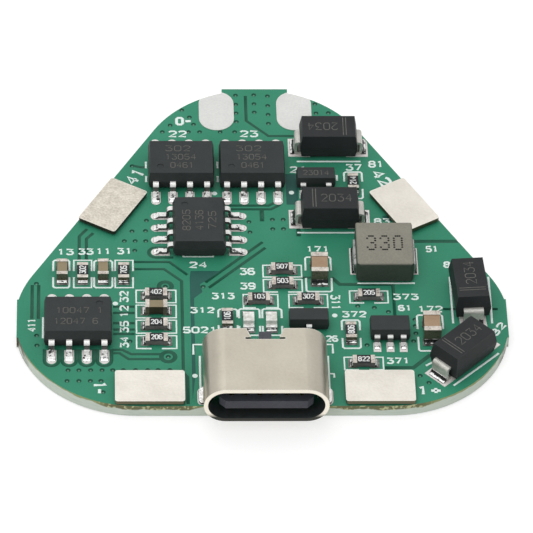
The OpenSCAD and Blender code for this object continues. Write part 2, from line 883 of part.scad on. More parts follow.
module lamp_lenses() {
    lens_l = chip_l - 2 * end_cap_l;
    lens_lean = 0.08;
    lens_top_x = lens_l / 2 - lens_lean;
    color("white", 0.8)
        each_place(lamp_places, land_z + lamp_base_h - end_cap_t)
            rotate([90, 0, 0])
                linear_extrude(chip_w, center = true)
                    polygon([[-lens_l / 2, 0], [lens_l / 2, 0],
                             [lens_top_x, lamp_lens_h], [-lens_top_x, lamp_lens_h]]);
}

module lamp_ends() {
    color(tin)
        each_place(lamp_places, land_z)
            chip_caps(chip_l, chip_w, lamp_base_h, end_cap_l, false);
}

// ---------- port ----------

// Things drawn with X across and Y up are stood up to face the mouth, from y0 over length l.
module along_port(y0, l) {
    translate([0, y0 + l, shell_mid_z])
        rotate([90, 0, 0])
            linear_extrude(l)
                children();
}

// The notch in the shell's top: slanted sides, and a relief slit out of each floor corner.
module shell_notch() {
    floor_x = shell_notch_w / 2;
    mouth_x = floor_x + notch_flare;
    polygon([[-floor_x, -shell_notch_d], [floor_x, -shell_notch_d], [mouth_x, 0],
             [mouth_x, 1], [-mouth_x, 1], [-mouth_x, 0]]);
    for (side = [-1, 1])
        translate([side * (floor_x + slit_l / 2 - slit_w / 2), slit_w / 2 - shell_notch_d])
            obround(slit_l + slit_w, slit_w);
}

module usb_shell() {
    color(shell_steel) {
        difference() {
            along_port(mouth_y, shell_depth)
                difference() {
                    obround(shell_w, shell_h);
                    obround(bore_w, bore_h);
                }
            translate([0, shell_rear_y, shell_mid_z])
                linear_extrude(shell_h)
                    shell_notch();
            stake_windows();
            tail_gap(0);
        }
        stake_places()
            stake(stake_top_z);
    }
}

// Openings in the shell's lower sides, where the stakes were bent out of the sheet.
module stake_windows() {
    for (side = [-1, 1])
        translate([side * (shell_w / 2 - window_w / 2), stake_y, top_z])
            cube([window_w + eps, window_l, 2 * window_h], center = true);
}

// Opening in the shell's floor at the rear, which the moulding's foot fills.
module tail_gap(clear) {
    translate([clear - foot_w / 2, shell_rear_y - foot_l + clear, top_z])
        cube([foot_w - 2 * clear, foot_l + eps - clear, 1.5 * shell_wall]);
}

// A stake from inside the board's slot up to a height on the shell.
module stake(high) {
    translate([-stake_l / 2, -shell_wall / 2, top_z - stake_depth])
        cube([stake_l, shell_wall, high - top_z + stake_depth]);
}

module port_lands() {
    stake_places()
        difference() {
            obround(slot_l + 2 * slot_land, slot_w + 2 * slot_land);
            obround(slot_l, slot_w);
        }
    for (x = contact_xs)
        translate([x, (tail_end_y + moulding_rear_y) / 2])
            square([contact_w + land_side, tail_end_y - moulding_rear_y + 2 * tail_land_out], center = true);
}

// Solder that fills each slot round its stake and stands as a collar on the land.
module stake_solder() {
    collar = 0.2;
    collar_h = 0.15;
    difference() {
        union() {
            slab(top_z - stake_depth, stake_depth + land_t)
                stake_places()
                    obround(slot_l, slot_w);
            slab(land_z, collar_h)
                intersection() {
                    board_outline(edge_margin);
                    stake_places()
                        obround(slot_l + 2 * collar, slot_w + 2 * collar);
                }
        }
        stake_places()
            stake(land_z + 2 * collar_h);
    }
}

// Plan of the tongue: a tip with cut corners.
module tongue_plan() {
    tip_y = mouth_y + tongue_back;
    tip_cut = 0.45;
    half = tongue_w / 2;
    polygon([[-half, moulding_y + eps], [-half, tip_y + tip_cut], [tip_cut - half, tip_y],
             [half - tip_cut, tip_y], [half, tip_y + tip_cut], [half, moulding_y + eps]]);
}

module usb_moulding() {
    color(moulding_black)
        difference() {
            union() {
                along_port(moulding_y, moulding_rear_y - moulding_y)
                    obround(bore_w - 2 * moulding_clear, bore_h - 2 * moulding_fit);
                translate([-rib_w / 2, moulding_y, shell_mid_z])
                    cube([rib_w, shell_rear_y - moulding_y - rib_back, bore_h / 2 - moulding_fit]);
                translate([0, 0, shell_mid_z - tongue_t / 2])
                    linear_extrude(tongue_t)
                        tongue_plan();
                translate([-foot_w / 2 + moulding_clear, shell_rear_y - foot_l + moulding_clear, land_z])
                    cube([foot_w - 2 * moulding_clear, foot_l - moulding_back - moulding_clear, shell_wall]);
            }
            contacts();
        }
}

// Upper contacts end inside the moulding; lower ones run through it, down and out as solder tails.
module contacts() {
    for (x = contact_xs)
        translate([x - contact_w / 2, 0, 0])
            rotate([90, 0, 90])
                linear_extrude(contact_w) {
                    polygon(upper_contact);
                    polygon(lower_contact);
                }
}

module usb_contacts() {
    color(gold)
        contacts();
}

circuit_board();
component_lands();
solder_joints();
output_pads();
tab_minus();
tab_plus();
tab_left();
tab_right();
tab_solder();
charger_body();
charger_leads();
transistor_left_body();
transistor_left_leads();
transistor_right_body();
transistor_right_leads();
protection_body();
protection_leads();
regulator_body();
regulator_leads();
switch_far_body();
switch_far_leads();
switch_near_body();
switch_near_leads();
diode_far_body();
diode_far_terminals();
diode_mid_body();
diode_mid_terminals();
diode_side_body();
diode_side_terminals();
diode_corner_body();
diode_corner_terminals();
coil_body();
coil_terminals();
large_capacitor_mid();
large_capacitor_mid_ends();
large_capacitor_side();
large_capacitor_side_ends();
small_capacitors();
small_capacitor_ends();
resistor_chips();
resistor_coats();
resistor_ends();
lamp_bases();
lamp_lenses();
lamp_ends();
usb_shell();
usb_moulding();
usb_contacts();
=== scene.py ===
import math
import bpy
import bmesh
from mathutils import Matrix, Vector


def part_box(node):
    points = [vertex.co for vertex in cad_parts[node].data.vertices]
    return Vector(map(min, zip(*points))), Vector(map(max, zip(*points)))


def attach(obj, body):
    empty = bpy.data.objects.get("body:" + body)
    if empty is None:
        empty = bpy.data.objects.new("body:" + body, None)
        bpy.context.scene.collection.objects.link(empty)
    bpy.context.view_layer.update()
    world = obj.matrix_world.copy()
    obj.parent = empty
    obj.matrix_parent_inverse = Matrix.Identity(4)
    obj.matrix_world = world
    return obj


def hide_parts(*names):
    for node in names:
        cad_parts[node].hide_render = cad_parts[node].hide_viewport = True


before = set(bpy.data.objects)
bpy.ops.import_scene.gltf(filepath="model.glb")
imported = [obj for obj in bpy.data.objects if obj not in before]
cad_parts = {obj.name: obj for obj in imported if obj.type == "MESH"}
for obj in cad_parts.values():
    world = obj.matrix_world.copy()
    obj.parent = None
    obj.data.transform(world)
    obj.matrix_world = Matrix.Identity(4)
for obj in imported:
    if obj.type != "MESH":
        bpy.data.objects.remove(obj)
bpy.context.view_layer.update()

# ---------- Camera ----------
# The board is seen from in front of its port and from above, with a long lens a third of a
# metre away, and the camera leans a little to one side.
MM = 0.001
view_distance = 355 * MM
view_height = math.radians(44.4)
view_side = math.radians(-2.9)
view_roll = math.radians(2.0)
aim = Vector((0.43, 0.12, 1.0)) * MM
lens_length = 326.2
film_width = 36

forward = Vector((-math.sin(view_side) * math.cos(view_height),
                  math.cos(view_side) * math.cos(view_height), -math.sin(view_height)))
level_right = Vector((math.cos(view_side), math.sin(view_side), 0))
level_up = level_right.cross(forward)
right = level_right * math.cos(view_roll) + level_up * math.sin(view_roll)
up = level_up * math.cos(view_roll) - level_right * math.sin(view_roll)
bpy.ops.object.camera_add()
camera = bpy.context.object
camera.name = "camera"
camera.data.sensor_width = film_width
camera.data.lens = lens_length
camera.data.clip_start = 0.01
camera.matrix_world = Matrix((
    (right.x, up.x, -forward.x, aim.x - forward.x * view_distance),
    (right.y, up.y, -forward.y, aim.y - forward.y * view_distance),
    (right.z, up.z, -forward.z, aim.z - forward.z * view_distance),
    (0, 0, 0, 1)))
bpy.context.scene.camera = camera
bpy.context.scene.view_settings.view_transform = "Standard"


# ---------- Floor and light ----------
# A plain white sheet lies under the board. A broad lamp hangs above and behind it, a weaker
# one fills in from the front left, and the room is bright overhead and darker at eye level.
def new_material(name):
    """A new material, and the tree that holds its shader nodes."""
    material = bpy.data.materials.new(name)
    material.use_nodes = True
    return material, material.node_tree


def feed(tree, value, socket):
    """Give a socket a plain value, or link it to the output of another node."""
    if isinstance(value, bpy.types.NodeSocket):
        tree.links.new(value, socket)
    else:
        socket.default_value = value


def reckon(tree, operation, *values):
    """One sum over the surface, of sockets or plain numbers."""
    step = tree.nodes.new("ShaderNodeMath")
    step.operation = operation
    for value, socket in zip(values, step.inputs):
        feed(tree, value, socket)
    return step.outputs[0]


def fade(tree, value, start, end, low=0.0, high=1.0):
    """A level that goes from low to high while the value goes from start to end."""
    level = tree.nodes.new("ShaderNodeMapRange")
    for socket, number in (("From Min", start), ("From Max", end), ("To Min", low),
                           ("To Max", high)):
        level.inputs[socket].default_value = number
    tree.links.new(value, level.inputs["Value"])
    return level.outputs["Result"]


def mix_colours(tree, mask, first, second):
    mix = tree.nodes.new("ShaderNodeMix")
    mix.data_type = "RGBA"
    tree.links.new(mask, mix.inputs["Factor"])
    feed(tree, first, mix.inputs[6])
    feed(tree, second, mix.inputs[7])
    return mix.outputs[2]


def axes_of(tree, vector):
    """The X, Y and Z of a vector, as sockets."""
    split = tree.nodes.new("ShaderNodeSeparateXYZ")
    tree.links.new(vector, split.inputs[0])
    return split.outputs


lamp_width = 0.40


def lamp(name, place, energy):
    """A round soft lamp that points at the middle of the board."""
    bpy.ops.object.light_add(type="AREA", location=place)
    light = bpy.context.object
    light.name = name
    light.data.shape = "DISK"
    light.data.size = lamp_width
    light.data.energy = energy
    light.rotation_euler = (-Vector(place)).to_track_quat("-Z", "Y").to_euler()


lamp("sky_lamp", (-0.10, 0.11, 0.44), 0.46)
lamp("front_lamp", (-0.20, -0.34, 0.26), 0.30)

# The sheet is lit as grey paper, but seen or mirrored it also glows a little, up to white.
paper_grey = (0.5, 0.5, 0.5, 1)
paper_glow = 0.6
bpy.ops.mesh.primitive_plane_add(size=2.4, location=(0, 0, -0.05 * MM))
floor = bpy.context.object
floor.name = "floor"
bpy.ops.object.transform_apply(location=True, rotation=True, scale=True)
paper, tree = new_material("white_paper")
tree.nodes.clear()
paper_out = tree.nodes.new("ShaderNodeOutputMaterial")
paper_face = tree.nodes.new("ShaderNodeBsdfDiffuse")
paper_face.inputs["Color"].default_value = paper_grey
paper_white = tree.nodes.new("ShaderNodeEmission")
paper_white.inputs["Color"].default_value = (1, 1, 1, 1)
ray = tree.nodes.new("ShaderNodeLightPath")
seen = ray.outputs["Is Camera Ray"]
for kind in ("Is Glossy Ray", "Is Transmission Ray"):
    seen = reckon(tree, "MAXIMUM", seen, ray.outputs[kind])
tree.links.new(reckon(tree, "MULTIPLY", seen, paper_glow), paper_white.inputs["Strength"])
both = tree.nodes.new("ShaderNodeAddShader")
tree.links.new(paper_face.outputs[0], both.inputs[0])
tree.links.new(paper_white.outputs[0], both.inputs[1])
tree.links.new(both.outputs[0], paper_out.inputs["Surface"])
floor.data.materials.append(paper)

room = bpy.data.worlds.new("room")
bpy.context.scene.world = room
room.use_nodes = True
tree = room.node_tree
direction = axes_of(tree, tree.nodes.new("ShaderNodeTexCoord").outputs["Generated"])
wall = tree.nodes.new("ShaderNodeValToRGB")
wall.color_ramp.elements[0].position = 0.06
wall.color_ramp.elements[0].color = (0.95, 0.95, 0.95, 1)
wall.color_ramp.elements[1].position = 0.12
wall.color_ramp.elements[1].color = (0.40, 0.41, 0.42, 1)
for height, level in ((0.34, 0.42), (0.80, 1.0)):
    stop = wall.color_ramp.elements.new(height)
    stop.color = (level, level, level, 1)
tree.links.new(direction["Z"], wall.inputs["Fac"])
# Behind the board a white sheet hangs right down to the table.
backdrop = fade(tree, direction["Y"], 0.35, 0.6)
background = tree.nodes["Background"]
tree.links.new(mix_colours(tree, backdrop, wall.outputs["Color"], (0.87, 0.87, 0.87, 1)),
               background.inputs["Color"])
background.inputs["Strength"].default_value = 0.9


# ---------- Circuit board ----------
# A sheet of glass-fibre laminate, with copper on both faces under a green solder mask. The mask
# is darker and a little lower where the copper was etched away. Plated holes join the faces.
weld_distance = 0.0005 * MM


def ink(red, green, blue):
    """A colour from its three levels of 0 to 255."""
    levels = [(level / 255 + 0.055) / 1.055 for level in (red, green, blue)]
    return tuple(level ** 2.4 for level in levels) + (1,)


def only(piece):
    """Select one piece and nothing else."""
    bpy.ops.object.select_all(action="DESELECT")
    piece.select_set(True)
    bpy.context.view_layer.objects.active = piece


def add_object(name, data):
    piece = bpy.data.objects.new(name, data)
    bpy.context.scene.collection.objects.link(piece)
    return piece


def copy_of_node(node, name):
    piece = add_object(name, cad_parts[node].data.copy())
    piece.data.materials.clear()
    only(piece)
    bpy.ops.object.mode_set(mode="EDIT")
    bpy.ops.mesh.select_all(action="SELECT")
    bpy.ops.mesh.remove_doubles(threshold=weld_distance)
    bpy.ops.object.mode_set(mode="OBJECT")
    return piece


def new_group(name, inputs, output):
    """A node group with plain number inputs and one output."""
    group = bpy.data.node_groups.new(name, "ShaderNodeTree")
    for socket, value in inputs.items():
        made = group.interface.new_socket(name=socket, in_out="INPUT",
                                          socket_type="NodeSocketFloat")
        made.default_value = value
    group.interface.new_socket(name=output, in_out="OUTPUT", socket_type="NodeSocketFloat")
    return group, group.nodes.new("NodeGroupInput"), group.nodes.new("NodeGroupOutput")


def add_noise(tree, place, scale, detail):
    noise = tree.nodes.new("ShaderNodeTexNoise")
    noise.inputs["Detail"].default_value = detail
    tree.links.new(place, noise.inputs["Vector"])
    feed(tree, scale, noise.inputs["Scale"])
    return noise.outputs["Fac"]


# Uneven tone of a surface: soft patches with fine grain over them, from 0 to 1.
grain, grain_in, grain_out = new_group(
    "grain", {"Patches per metre": 400.0, "Grains per metre": 9000.0, "Grain": 0.5}, "Tone")
place = grain.nodes.new("ShaderNodeTexCoord").outputs["Object"]
blend = grain.nodes.new("ShaderNodeMix")
grain.links.new(grain_in.outputs["Grain"], blend.inputs["Factor"])
for part, socket, detail in (("A", "Patches per metre", 3), ("B", "Grains per metre", 2)):
    grain.links.new(add_noise(grain, place, grain_in.outputs[socket], detail),
                    blend.inputs[part])
grain.links.new(fade(grain, blend.outputs["Result"], 0.3, 0.7), grain_out.inputs["Tone"])

# Painted highlight along an edge: 1 along edges that stand out, 0 on flat faces.
edge_highlight, edge_highlight_in, edge_highlight_out = new_group("painted_edge_highlight", {"Width": 0.03 * MM, "Strength": 3.0}, "Mask")
rounded = edge_highlight.nodes.new("ShaderNodeBevel")
rounded.samples = 4
edge_highlight.links.new(edge_highlight_in.outputs["Width"], rounded.inputs["Radius"])
true_face = edge_highlight.nodes.new("ShaderNodeNewGeometry")
alike = edge_highlight.nodes.new("ShaderNodeVectorMath")
alike.operation = "DOT_PRODUCT"
edge_highlight.links.new(rounded.outputs["Normal"], alike.inputs[0])
edge_highlight.links.new(true_face.outputs["Normal"], alike.inputs[1])
apart = reckon(edge_highlight, "SUBTRACT", 1.0, alike.outputs["Value"])
louder = reckon(edge_highlight, "MULTIPLY", apart, edge_highlight_in.outputs["Strength"])
louder.node.use_clamp = True
edge_highlight.links.new(louder, edge_highlight_out.inputs["Mask"])


def add_group(tree, group, **values):
    node = tree.nodes.new("ShaderNodeGroup")
    node.node_tree = group
    for socket, value in values.items():
        node.inputs[socket.replace("_", " ")].default_value = value
    return node.outputs[0]


def add_tone(tree, patches, grains, fine):
    return add_group(tree, grain, Patches_per_metre=patches, Grains_per_metre=grains, Grain=fine)


def add_relief(tree, height, depth):
    relief = tree.nodes.new("ShaderNodeBump")
    relief.inputs["Distance"].default_value = depth
    tree.links.new(height, relief.inputs["Height"])
    tree.links.new(relief.outputs["Normal"], tree.nodes["Principled BSDF"].inputs["Normal"])


dielectric_gloss = 0.2


def finish(name, dark, light, rough, metal=0.0, patches=400.0, grains=9000.0, fine=0.5,
           bump=0.0, edge=None, highlight_width=0.03 * MM, coat=0.0):
    """A surface between two tones, with a painted highlight along its edges, a fine relief and a
    clear coat if asked.
    """
    material, tree = new_material(name)
    shader = tree.nodes["Principled BSDF"]
    tone = add_tone(tree, patches, grains, fine)
    colour = mix_colours(tree, tone, dark, light)
    # An edge colour, when given, is a painted highlight along the edges.
    if edge is not None:
        colour = mix_colours(tree, add_group(tree, edge_highlight, Width=highlight_width), colour, edge)
    tree.links.new(colour, shader.inputs["Base Color"])
    tree.links.new(fade(tree, tone, 0.0, 1.0, *rough), shader.inputs["Roughness"])
    shader.inputs["Metallic"].default_value = metal
    shader.inputs["Coat Weight"].default_value = coat
    shader.inputs["Specular IOR Level"].default_value = dielectric_gloss
    if bump:
        add_relief(tree, tone, bump)
    return material


def facing(tree):
    """The way the surface faces: 1 in Z where it lies flat, 0 where it stands upright."""
    return axes_of(tree, tree.nodes.new("ShaderNodeNewGeometry").outputs["Normal"])


def shade_upright(material, colour, low=0.25, high=0.6):
    """Upright faces take a darker colour, a painted shade where the light reaches least."""
    tree = material.node_tree
    base = tree.nodes["Principled BSDF"].inputs["Base Color"]
    tree.links.new(mix_colours(tree, fade(tree, facing(tree)["Z"], low, high), colour,
                               base.links[0].from_socket), base)


mask_green = finish("solder_mask", ink(47, 131, 101), ink(60, 145, 116), (0.25, 0.4),
                    patches=180.0, grains=6000.0, fine=0.25, bump=0.004 * MM)
mask_sunk = finish("solder_mask_over_laminate", ink(26, 84, 64), ink(36, 96, 76), (0.3, 0.45),
                   patches=900.0, grains=9000.0, fine=0.4)
mask_bare = finish("solder_mask_without_copper", ink(34, 88, 78), ink(44, 98, 88), (0.3, 0.45),
                   patches=900.0, grains=9000.0, fine=0.4)
# The floor of each dimple is painted paler than the mask as painted light, and its slopes darker
# as a painted shade.
via_wall = finish("plugged_hole", ink(84, 134, 114), ink(112, 148, 132), (0.25, 0.4))
shade_upright(via_wall, ink(26, 82, 63), low=0.88, high=0.97)

# The cut edge shows the layers of glass cloth, pale with a yellow rim under the mask.
cloth_scale = (900, 900, 7000)
cut_edge, tree = new_material("cut_laminate")
tree.nodes["Principled BSDF"].inputs["Roughness"].default_value = 0.6
place = tree.nodes.new("ShaderNodeTexCoord").outputs["Object"]
spot = axes_of(tree, place)
layers = tree.nodes.new("ShaderNodeMapping")
layers.inputs["Scale"].default_value = cloth_scale
tree.links.new(place, layers.inputs["Vector"])
cloth = add_noise(tree, layers.outputs[0], 1.0, 3)
glass = mix_colours(tree, cloth, ink(202, 218, 202), ink(240, 246, 234))
ragged = add_noise(tree, place, 700.0, 4)

# Under the two front tabs the rim is broken deeper, where flux has run over it.
tab_middle = 8.3 * MM
flux_start = 2.9 * MM
flux_end = 4.1 * MM
front_line = -13.0 * MM
rim_depth_at_tab = 0.26 * MM
rim_wander = 0.55 * MM
rim_low = 1.08 * MM
rim_high = 1.18 * MM
from_middle = reckon(tree, "ABSOLUTE", spot["X"])
from_tab = reckon(tree, "ABSOLUTE", reckon(tree, "SUBTRACT", from_middle, tab_middle))
by_tab = reckon(tree, "MULTIPLY", fade(tree, from_tab, flux_end, flux_start),
                reckon(tree, "LESS_THAN", spot["Y"], front_line))
rim_z = reckon(tree, "ADD", spot["Z"], reckon(tree, "MULTIPLY", by_tab, rim_depth_at_tab))
rim_z = reckon(tree, "ADD", rim_z, reckon(tree, "MULTIPLY", ragged, rim_wander))
rim = fade(tree, rim_z, rim_low, rim_high)
spots = fade(tree, add_noise(tree, place, 3600.0, 1), 0.5, 0.62)
flux = mix_colours(tree, spots, ink(112, 112, 74), ink(206, 208, 160))
rim_colour = mix_colours(tree, by_tab, ink(158, 168, 112), flux)
edge_colour = mix_colours(tree, rim, glass, rim_colour)

# The stubs where the board was snapped out of its panel are splintered and brown.
stub_start = 16.9 * MM
stub_end = 17.5 * MM
on_stub = fade(tree, from_middle, stub_start, stub_end)
brown = reckon(tree, "MULTIPLY", on_stub, fade(tree, ragged, 0.38, 0.5))
tree.links.new(mix_colours(tree, brown, edge_colour, ink(88, 84, 62)),
               tree.nodes["Principled BSDF"].inputs["Base Color"])
add_relief(tree, cloth, 0.02 * MM)

board_low, board_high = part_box("circuit_board")
board_top = board_high.z
board = copy_of_node("circuit_board", "board")
board.data.materials.append(mask_green)
board.data.materials.append(cut_edge)
for face in board.data.polygons:
    face.material_index = 1 if abs(face.normal.z) < 0.5 else 0


def strands(name, paths, width, flatness, height):
    """Round strands along paths given in millimetres, joined and pressed flat."""
    curve = bpy.data.curves.new(name, "CURVE")
    curve.dimensions = "3D"
    curve.bevel_depth = width / 2 * MM
    curve.bevel_resolution = 1
    curve.use_fill_caps = True
    for path in paths:
        closed = path[0] == path[-1]
        points = path[:-1] if closed else path
        spline = curve.splines.new("POLY")
        spline.points.add(len(points) - 1)
        for point, (x, y) in zip(spline.points, points):
            point.co = (x * MM, y * MM, 0, 1)
        spline.use_cyclic_u = closed
    only(add_object(name, curve))
    bpy.ops.object.convert(target="MESH")
    piece = bpy.context.object
    piece.scale.z = flatness
    piece.location.z = height
    bpy.ops.object.transform_apply(location=True, rotation=True, scale=True)
    return piece


def arc(x, y, radius, start, count):
    """Points round a middle, from a start in degrees, a sixteenth of a turn apart."""
    turns = [math.radians(start + 22.5 * i) for i in range(count)]
    return [(x + radius * math.cos(turn), y + radius * math.sin(turn)) for turn in turns]


def ring(x, y, radius):
    points = arc(x, y, radius, 0, 16)
    return points + [points[0]]


def cut_from(piece, cutter, material):
    """Cut a shape out of a piece, with a material of its own on the cut faces."""
    cutter.data.materials.clear()
    cutter.data.materials.append(material)
    only(piece)
    piece.data.materials.append(material)
    step = piece.modifiers.new("cut", "BOOLEAN")
    step.operation = "DIFFERENCE"
    step.solver = "EXACT"
    step.object = cutter
    step.material_mode = "TRANSFER"
    step.use_self = True
    bpy.ops.object.modifier_apply(modifier=step.name)
    bpy.data.objects.remove(cutter)


narrow_gaps = [
    [(-0.7, 18.7), (-0.7, 15.9), (0.95, 14.2), (3.1, 14.2)],
    [(-12.75, 4.1), (-13.33, 3.3), (-13.33, 0.8)],
    [(-12.3, 3.65), (-12.8, 3.05), (-12.8, 0.8)],
    [(-9.37, 0.6), (-6.7, 0.6), (-5.4, -0.75)],
    [(-9.37, -0.15), (-7.1, -0.15), (-5.83, -1.4), (-5.83, -10.8), (-5.53, -11.2), (-5.53, -13.9)],
    [(-4.1, -1.55), (0.2, 2.7)],
    [(-3.85, -2.1), (0.4, 2.1)],
    [(-10.93, -8.46), (-10.2, -8.46), (-9.56, -8.9), (-7.35, -8.9)],
    [(-10.93, -8.8), (-10.4, -8.8), (-9.76, -9.4), (-7.35, -9.4)],
    [(-16.75, -1.8), (-16.75, -5.3)],
    [(-16.28, -1.8), (-16.28, -5.3)],
    [(9.65, -1.75), (9.65, -5.0)],
    [(13.2, -4.33), (17.2, -4.33)],
    [(3.0, -1.05), (3.7, -1.05)],
    [(-3.2, 6.6), (0.75, 6.6), (1.42, 7.06)],
    [(-3.2, 6.2), (0.92, 6.2), (1.62, 6.7)],
    [(-10.86, -4.05), (-9.3, -4.05)],
    [(-10.86, -4.7), (-9.3, -4.7)],
    [(-10.86, -5.75), (-9.3, -5.75)],
    [(-10.86, -6.4), (-9.3, -6.4)],
    [(-10.86, -6.85), (-9.3, -6.85)],
    [(-9.4, 10.95), (-8.7, 10.75), (-8.35, 10.75)],
]
wide_gaps = [
    [(5.16, -1.05), (5.75, -1.75), (9.6, -1.75)],
    [(8.7, -10.3), (10.75, -10.3), (12.05, -9.0)],
    [(0.23, 6.1), (0.23, 4.9)],
    [(11.3, 2.77), (14.9, 2.77)],
    [(2.9, 6.15), (2.9, 3.3)],
]
land_gap = 0.52
lead_gaps = [[(x - land_gap, -8.4)] + arc(x, -9.57, land_gap, 180, 9) + [(x + land_gap, -8.4)]
             for x in (-15.3, -14.03, -12.77, -11.5)]
lead_gaps.append([(-6.4, 2.11)] + arc(-7.7, 1.59, land_gap, 90, 9) + [(-6.4, 1.07)])
hole_rings = [ring(-7.03, -1.96, 0.47), ring(-6.9, -9.17, 0.5)]
gap_depth = 0.03 * MM
for name, paths, width in (("narrow_gaps", narrow_gaps + lead_gaps, 0.25),
                           ("wide_gaps", wide_gaps + hole_rings, 0.34)):
    flatness = 2 * gap_depth / (width * MM)
    cut_from(board, strands(name, paths, width, flatness, board_top), mask_sunk)


def sheet(name, outline, low, high):
    """A flat plate with the outline given in millimetres, pulled up from low to high."""
    corners = [Vector((x * MM, y * MM, low)) for x, y in outline]
    mesh = bpy.data.meshes.new(name)
    mesh.from_pydata(corners, [], [list(range(len(corners)))])
    piece = add_object(name, mesh)
    only(piece)
    bpy.ops.object.mode_set(mode="EDIT")
    bpy.ops.mesh.select_all(action="SELECT")
    bpy.ops.mesh.extrude_region_move(TRANSFORM_OT_translate={"value": (0, 0, high - low)})
    bpy.ops.mesh.select_all(action="SELECT")
    bpy.ops.mesh.normals_make_consistent(inside=False)
    bpy.ops.object.mode_set(mode="OBJECT")
    return piece


bare_patches = [
    [(-5.15, -0.36), (-3.0, -0.36), (-4.5, -1.76), (-4.32, -2.54), (-4.95, -3.19),
     (-4.95, -10.9), (-5.2, -13.5), (-5.23, -1.0)],
    [(2.1, 10.0), (2.1, 6.7), (3.0, 6.7), (3.0, 10.0)],
    [(9.2, 5.5), (9.2, 4.9), (9.9, 4.9), (9.9, 5.5)],
]
patch_depth = 0.02 * MM
cutter_rise = 0.1 * MM
for number, patch in enumerate(bare_patches):
    cut_from(board, sheet("bare_patch_%d" % number, patch, board_top - patch_depth,
                          board_top + cutter_rise), mask_bare)


def join(name, pieces, material):
    bpy.ops.object.select_all(action="DESELECT")
    for piece in pieces:
        piece.select_set(True)
    bpy.context.view_layer.objects.active = pieces[0]
    bpy.ops.object.join()
    piece = bpy.context.object
    piece.name = name
    piece.data.materials.clear()
    piece.data.materials.append(material)
    return piece


# Each plated hole is plugged with mask and only dimples the two faces.
holes = [(-16.45, -1.66), (-16.39, -6.99), (-16.36, -8.0), (-9.43, 3.86), (-8.43, 3.9),
         (-10.0, 2.82), (-9.2, 2.82), (-8.42, 2.82), (-9.24, 1.81), (-9.65, -7.6), (-8.35, 5.0),
         (-7.03, -1.96), (-6.9, -9.17), (-4.26, -1.98), (-11.6, -12.7), (-5.57, 17.1),
         (-6.47, 15.4), (-5.0, 16.3), (-4.7, 15.5), (4.58, 17.8), (4.63, 16.76), (5.57, 16.8),
         (-9.37, 10.9), (-0.75, 4.85), (-0.7, 3.75), (1.0, 5.1), (1.8, 5.1), (1.0, 4.1),
         (1.8, 4.1), (6.98, -4.0), (8.19, -4.17), (9.2, -4.6), (11.1, -5.4), (11.1, -6.05),
         (11.1, -6.8), (10.9, -7.6), (7.5, -8.0), (11.2, -11.1), (11.8, -11.8)]
holes += [(x, -10.5) for x in (-14.11, -13.33, -12.49, -11.67, -10.9, -10.15, -9.26, -8.39,
                               -7.65, -6.79)]
holes += [(x, -11.58) for x in (-14.18, -13.33, -12.51, -11.75)]
holes += [(-1.45, y) for y in (18.76, 17.74, 16.76, 15.8)]
holes += [(-0.06, y) for y in (18.8, 17.8, 16.86)]
holes += [(0.98, y) for y in (18.68, 17.6, 16.6, 15.6)]
holes += [(x, 14.66) for x in (-7.07, -5.1, -4.25, -2.7, -1.6)]
plug_tip_radius = 0.08 * MM
plug_radius = 0.3 * MM
plug_height = 0.15 * MM
bpy.ops.mesh.primitive_cone_add(vertices=12, radius1=plug_tip_radius, radius2=plug_radius,
                                depth=plug_height)
drill = bpy.context.object
bits = []
for x, y in holes:
    for height, turn in ((board_top, 0), (board_low.z, math.pi)):
        bit = add_object("bit", drill.data.copy())
        bit.location = (x * MM, y * MM, height)
        bit.rotation_euler.x = turn
        bits.append(bit)
bpy.data.objects.remove(drill)
bits = join("bits", bits, via_wall)
bpy.ops.object.transform_apply(location=True, rotation=True, scale=True)
cut_from(board, bits, via_wall)
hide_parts("circuit_board")
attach(board, "root")


# ---------- Lands and solder ----------
# Copper lands, tinned white and slightly uneven, carry every lead. The solder has drawn up into
# smooth bright mounds round the toes, so each CAD fillet is rounded over and settled.
def dress(material, *nodes):
    for node in nodes:
        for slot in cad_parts[node].material_slots:
            slot.material = material


def where(tree):
    """Where a point of the surface lies on the board."""
    return axes_of(tree, tree.nodes.new("ShaderNodeTexCoord").outputs["Object"])


def cover(tree, mask, colour):
    """Lay a colour over what a material already shows, where the mask is 1."""
    base = tree.nodes["Principled BSDF"].inputs["Base Color"]
    tree.links.new(mix_colours(tree, mask, base.links[0].from_socket, colour), base)


tinned = finish("tinned_land", ink(222, 215, 212), ink(250, 245, 243), (0.4, 0.6), metal=0.2,
                patches=1500.0, grains=9000.0, fine=0.4, bump=0.004 * MM)
dress(tinned, "component_lands")

# The lands under the small parts carry solder, painted with a dark mottle, a painted reflection
# of the dark between the parts.
dark_reflection_boxes = [
    (-15.4, -9.2, -2.2, 0.9), (-9.3, -6.1, -8.5, -2.2), (0.0, 3.1, -2.6, 0.4),
    (-1.5, 4.9, -4.3, -2.7), (-3.3, 1.5, -7.1, -4.3), (3.2, 5.3, -2.6, 1.3),
    (5.6, 9.4, -3.8, -2.3), (5.6, 7.2, -8.4, -5.3), (5.7, 8.7, -10.6, -9.1),
    (11.1, 13.2, -8.7, -4.8), (6.4, 7.9, 7.2, 10.4),
]
within, within_in, within_out = new_group(
    "within_box", {"West": 0.0, "East": 0.0, "South": 0.0, "North": 0.0}, "Mask")
spot = where(within)
enclosed = 1.0
for axis, operation, limit in (("X", "GREATER_THAN", "West"), ("X", "LESS_THAN", "East"),
                               ("Y", "GREATER_THAN", "South"), ("Y", "LESS_THAN", "North")):
    side = reckon(within, operation, spot[axis], within_in.outputs[limit])
    enclosed = reckon(within, "MULTIPLY", enclosed, side)
within.links.new(enclosed, within_out.inputs["Mask"])

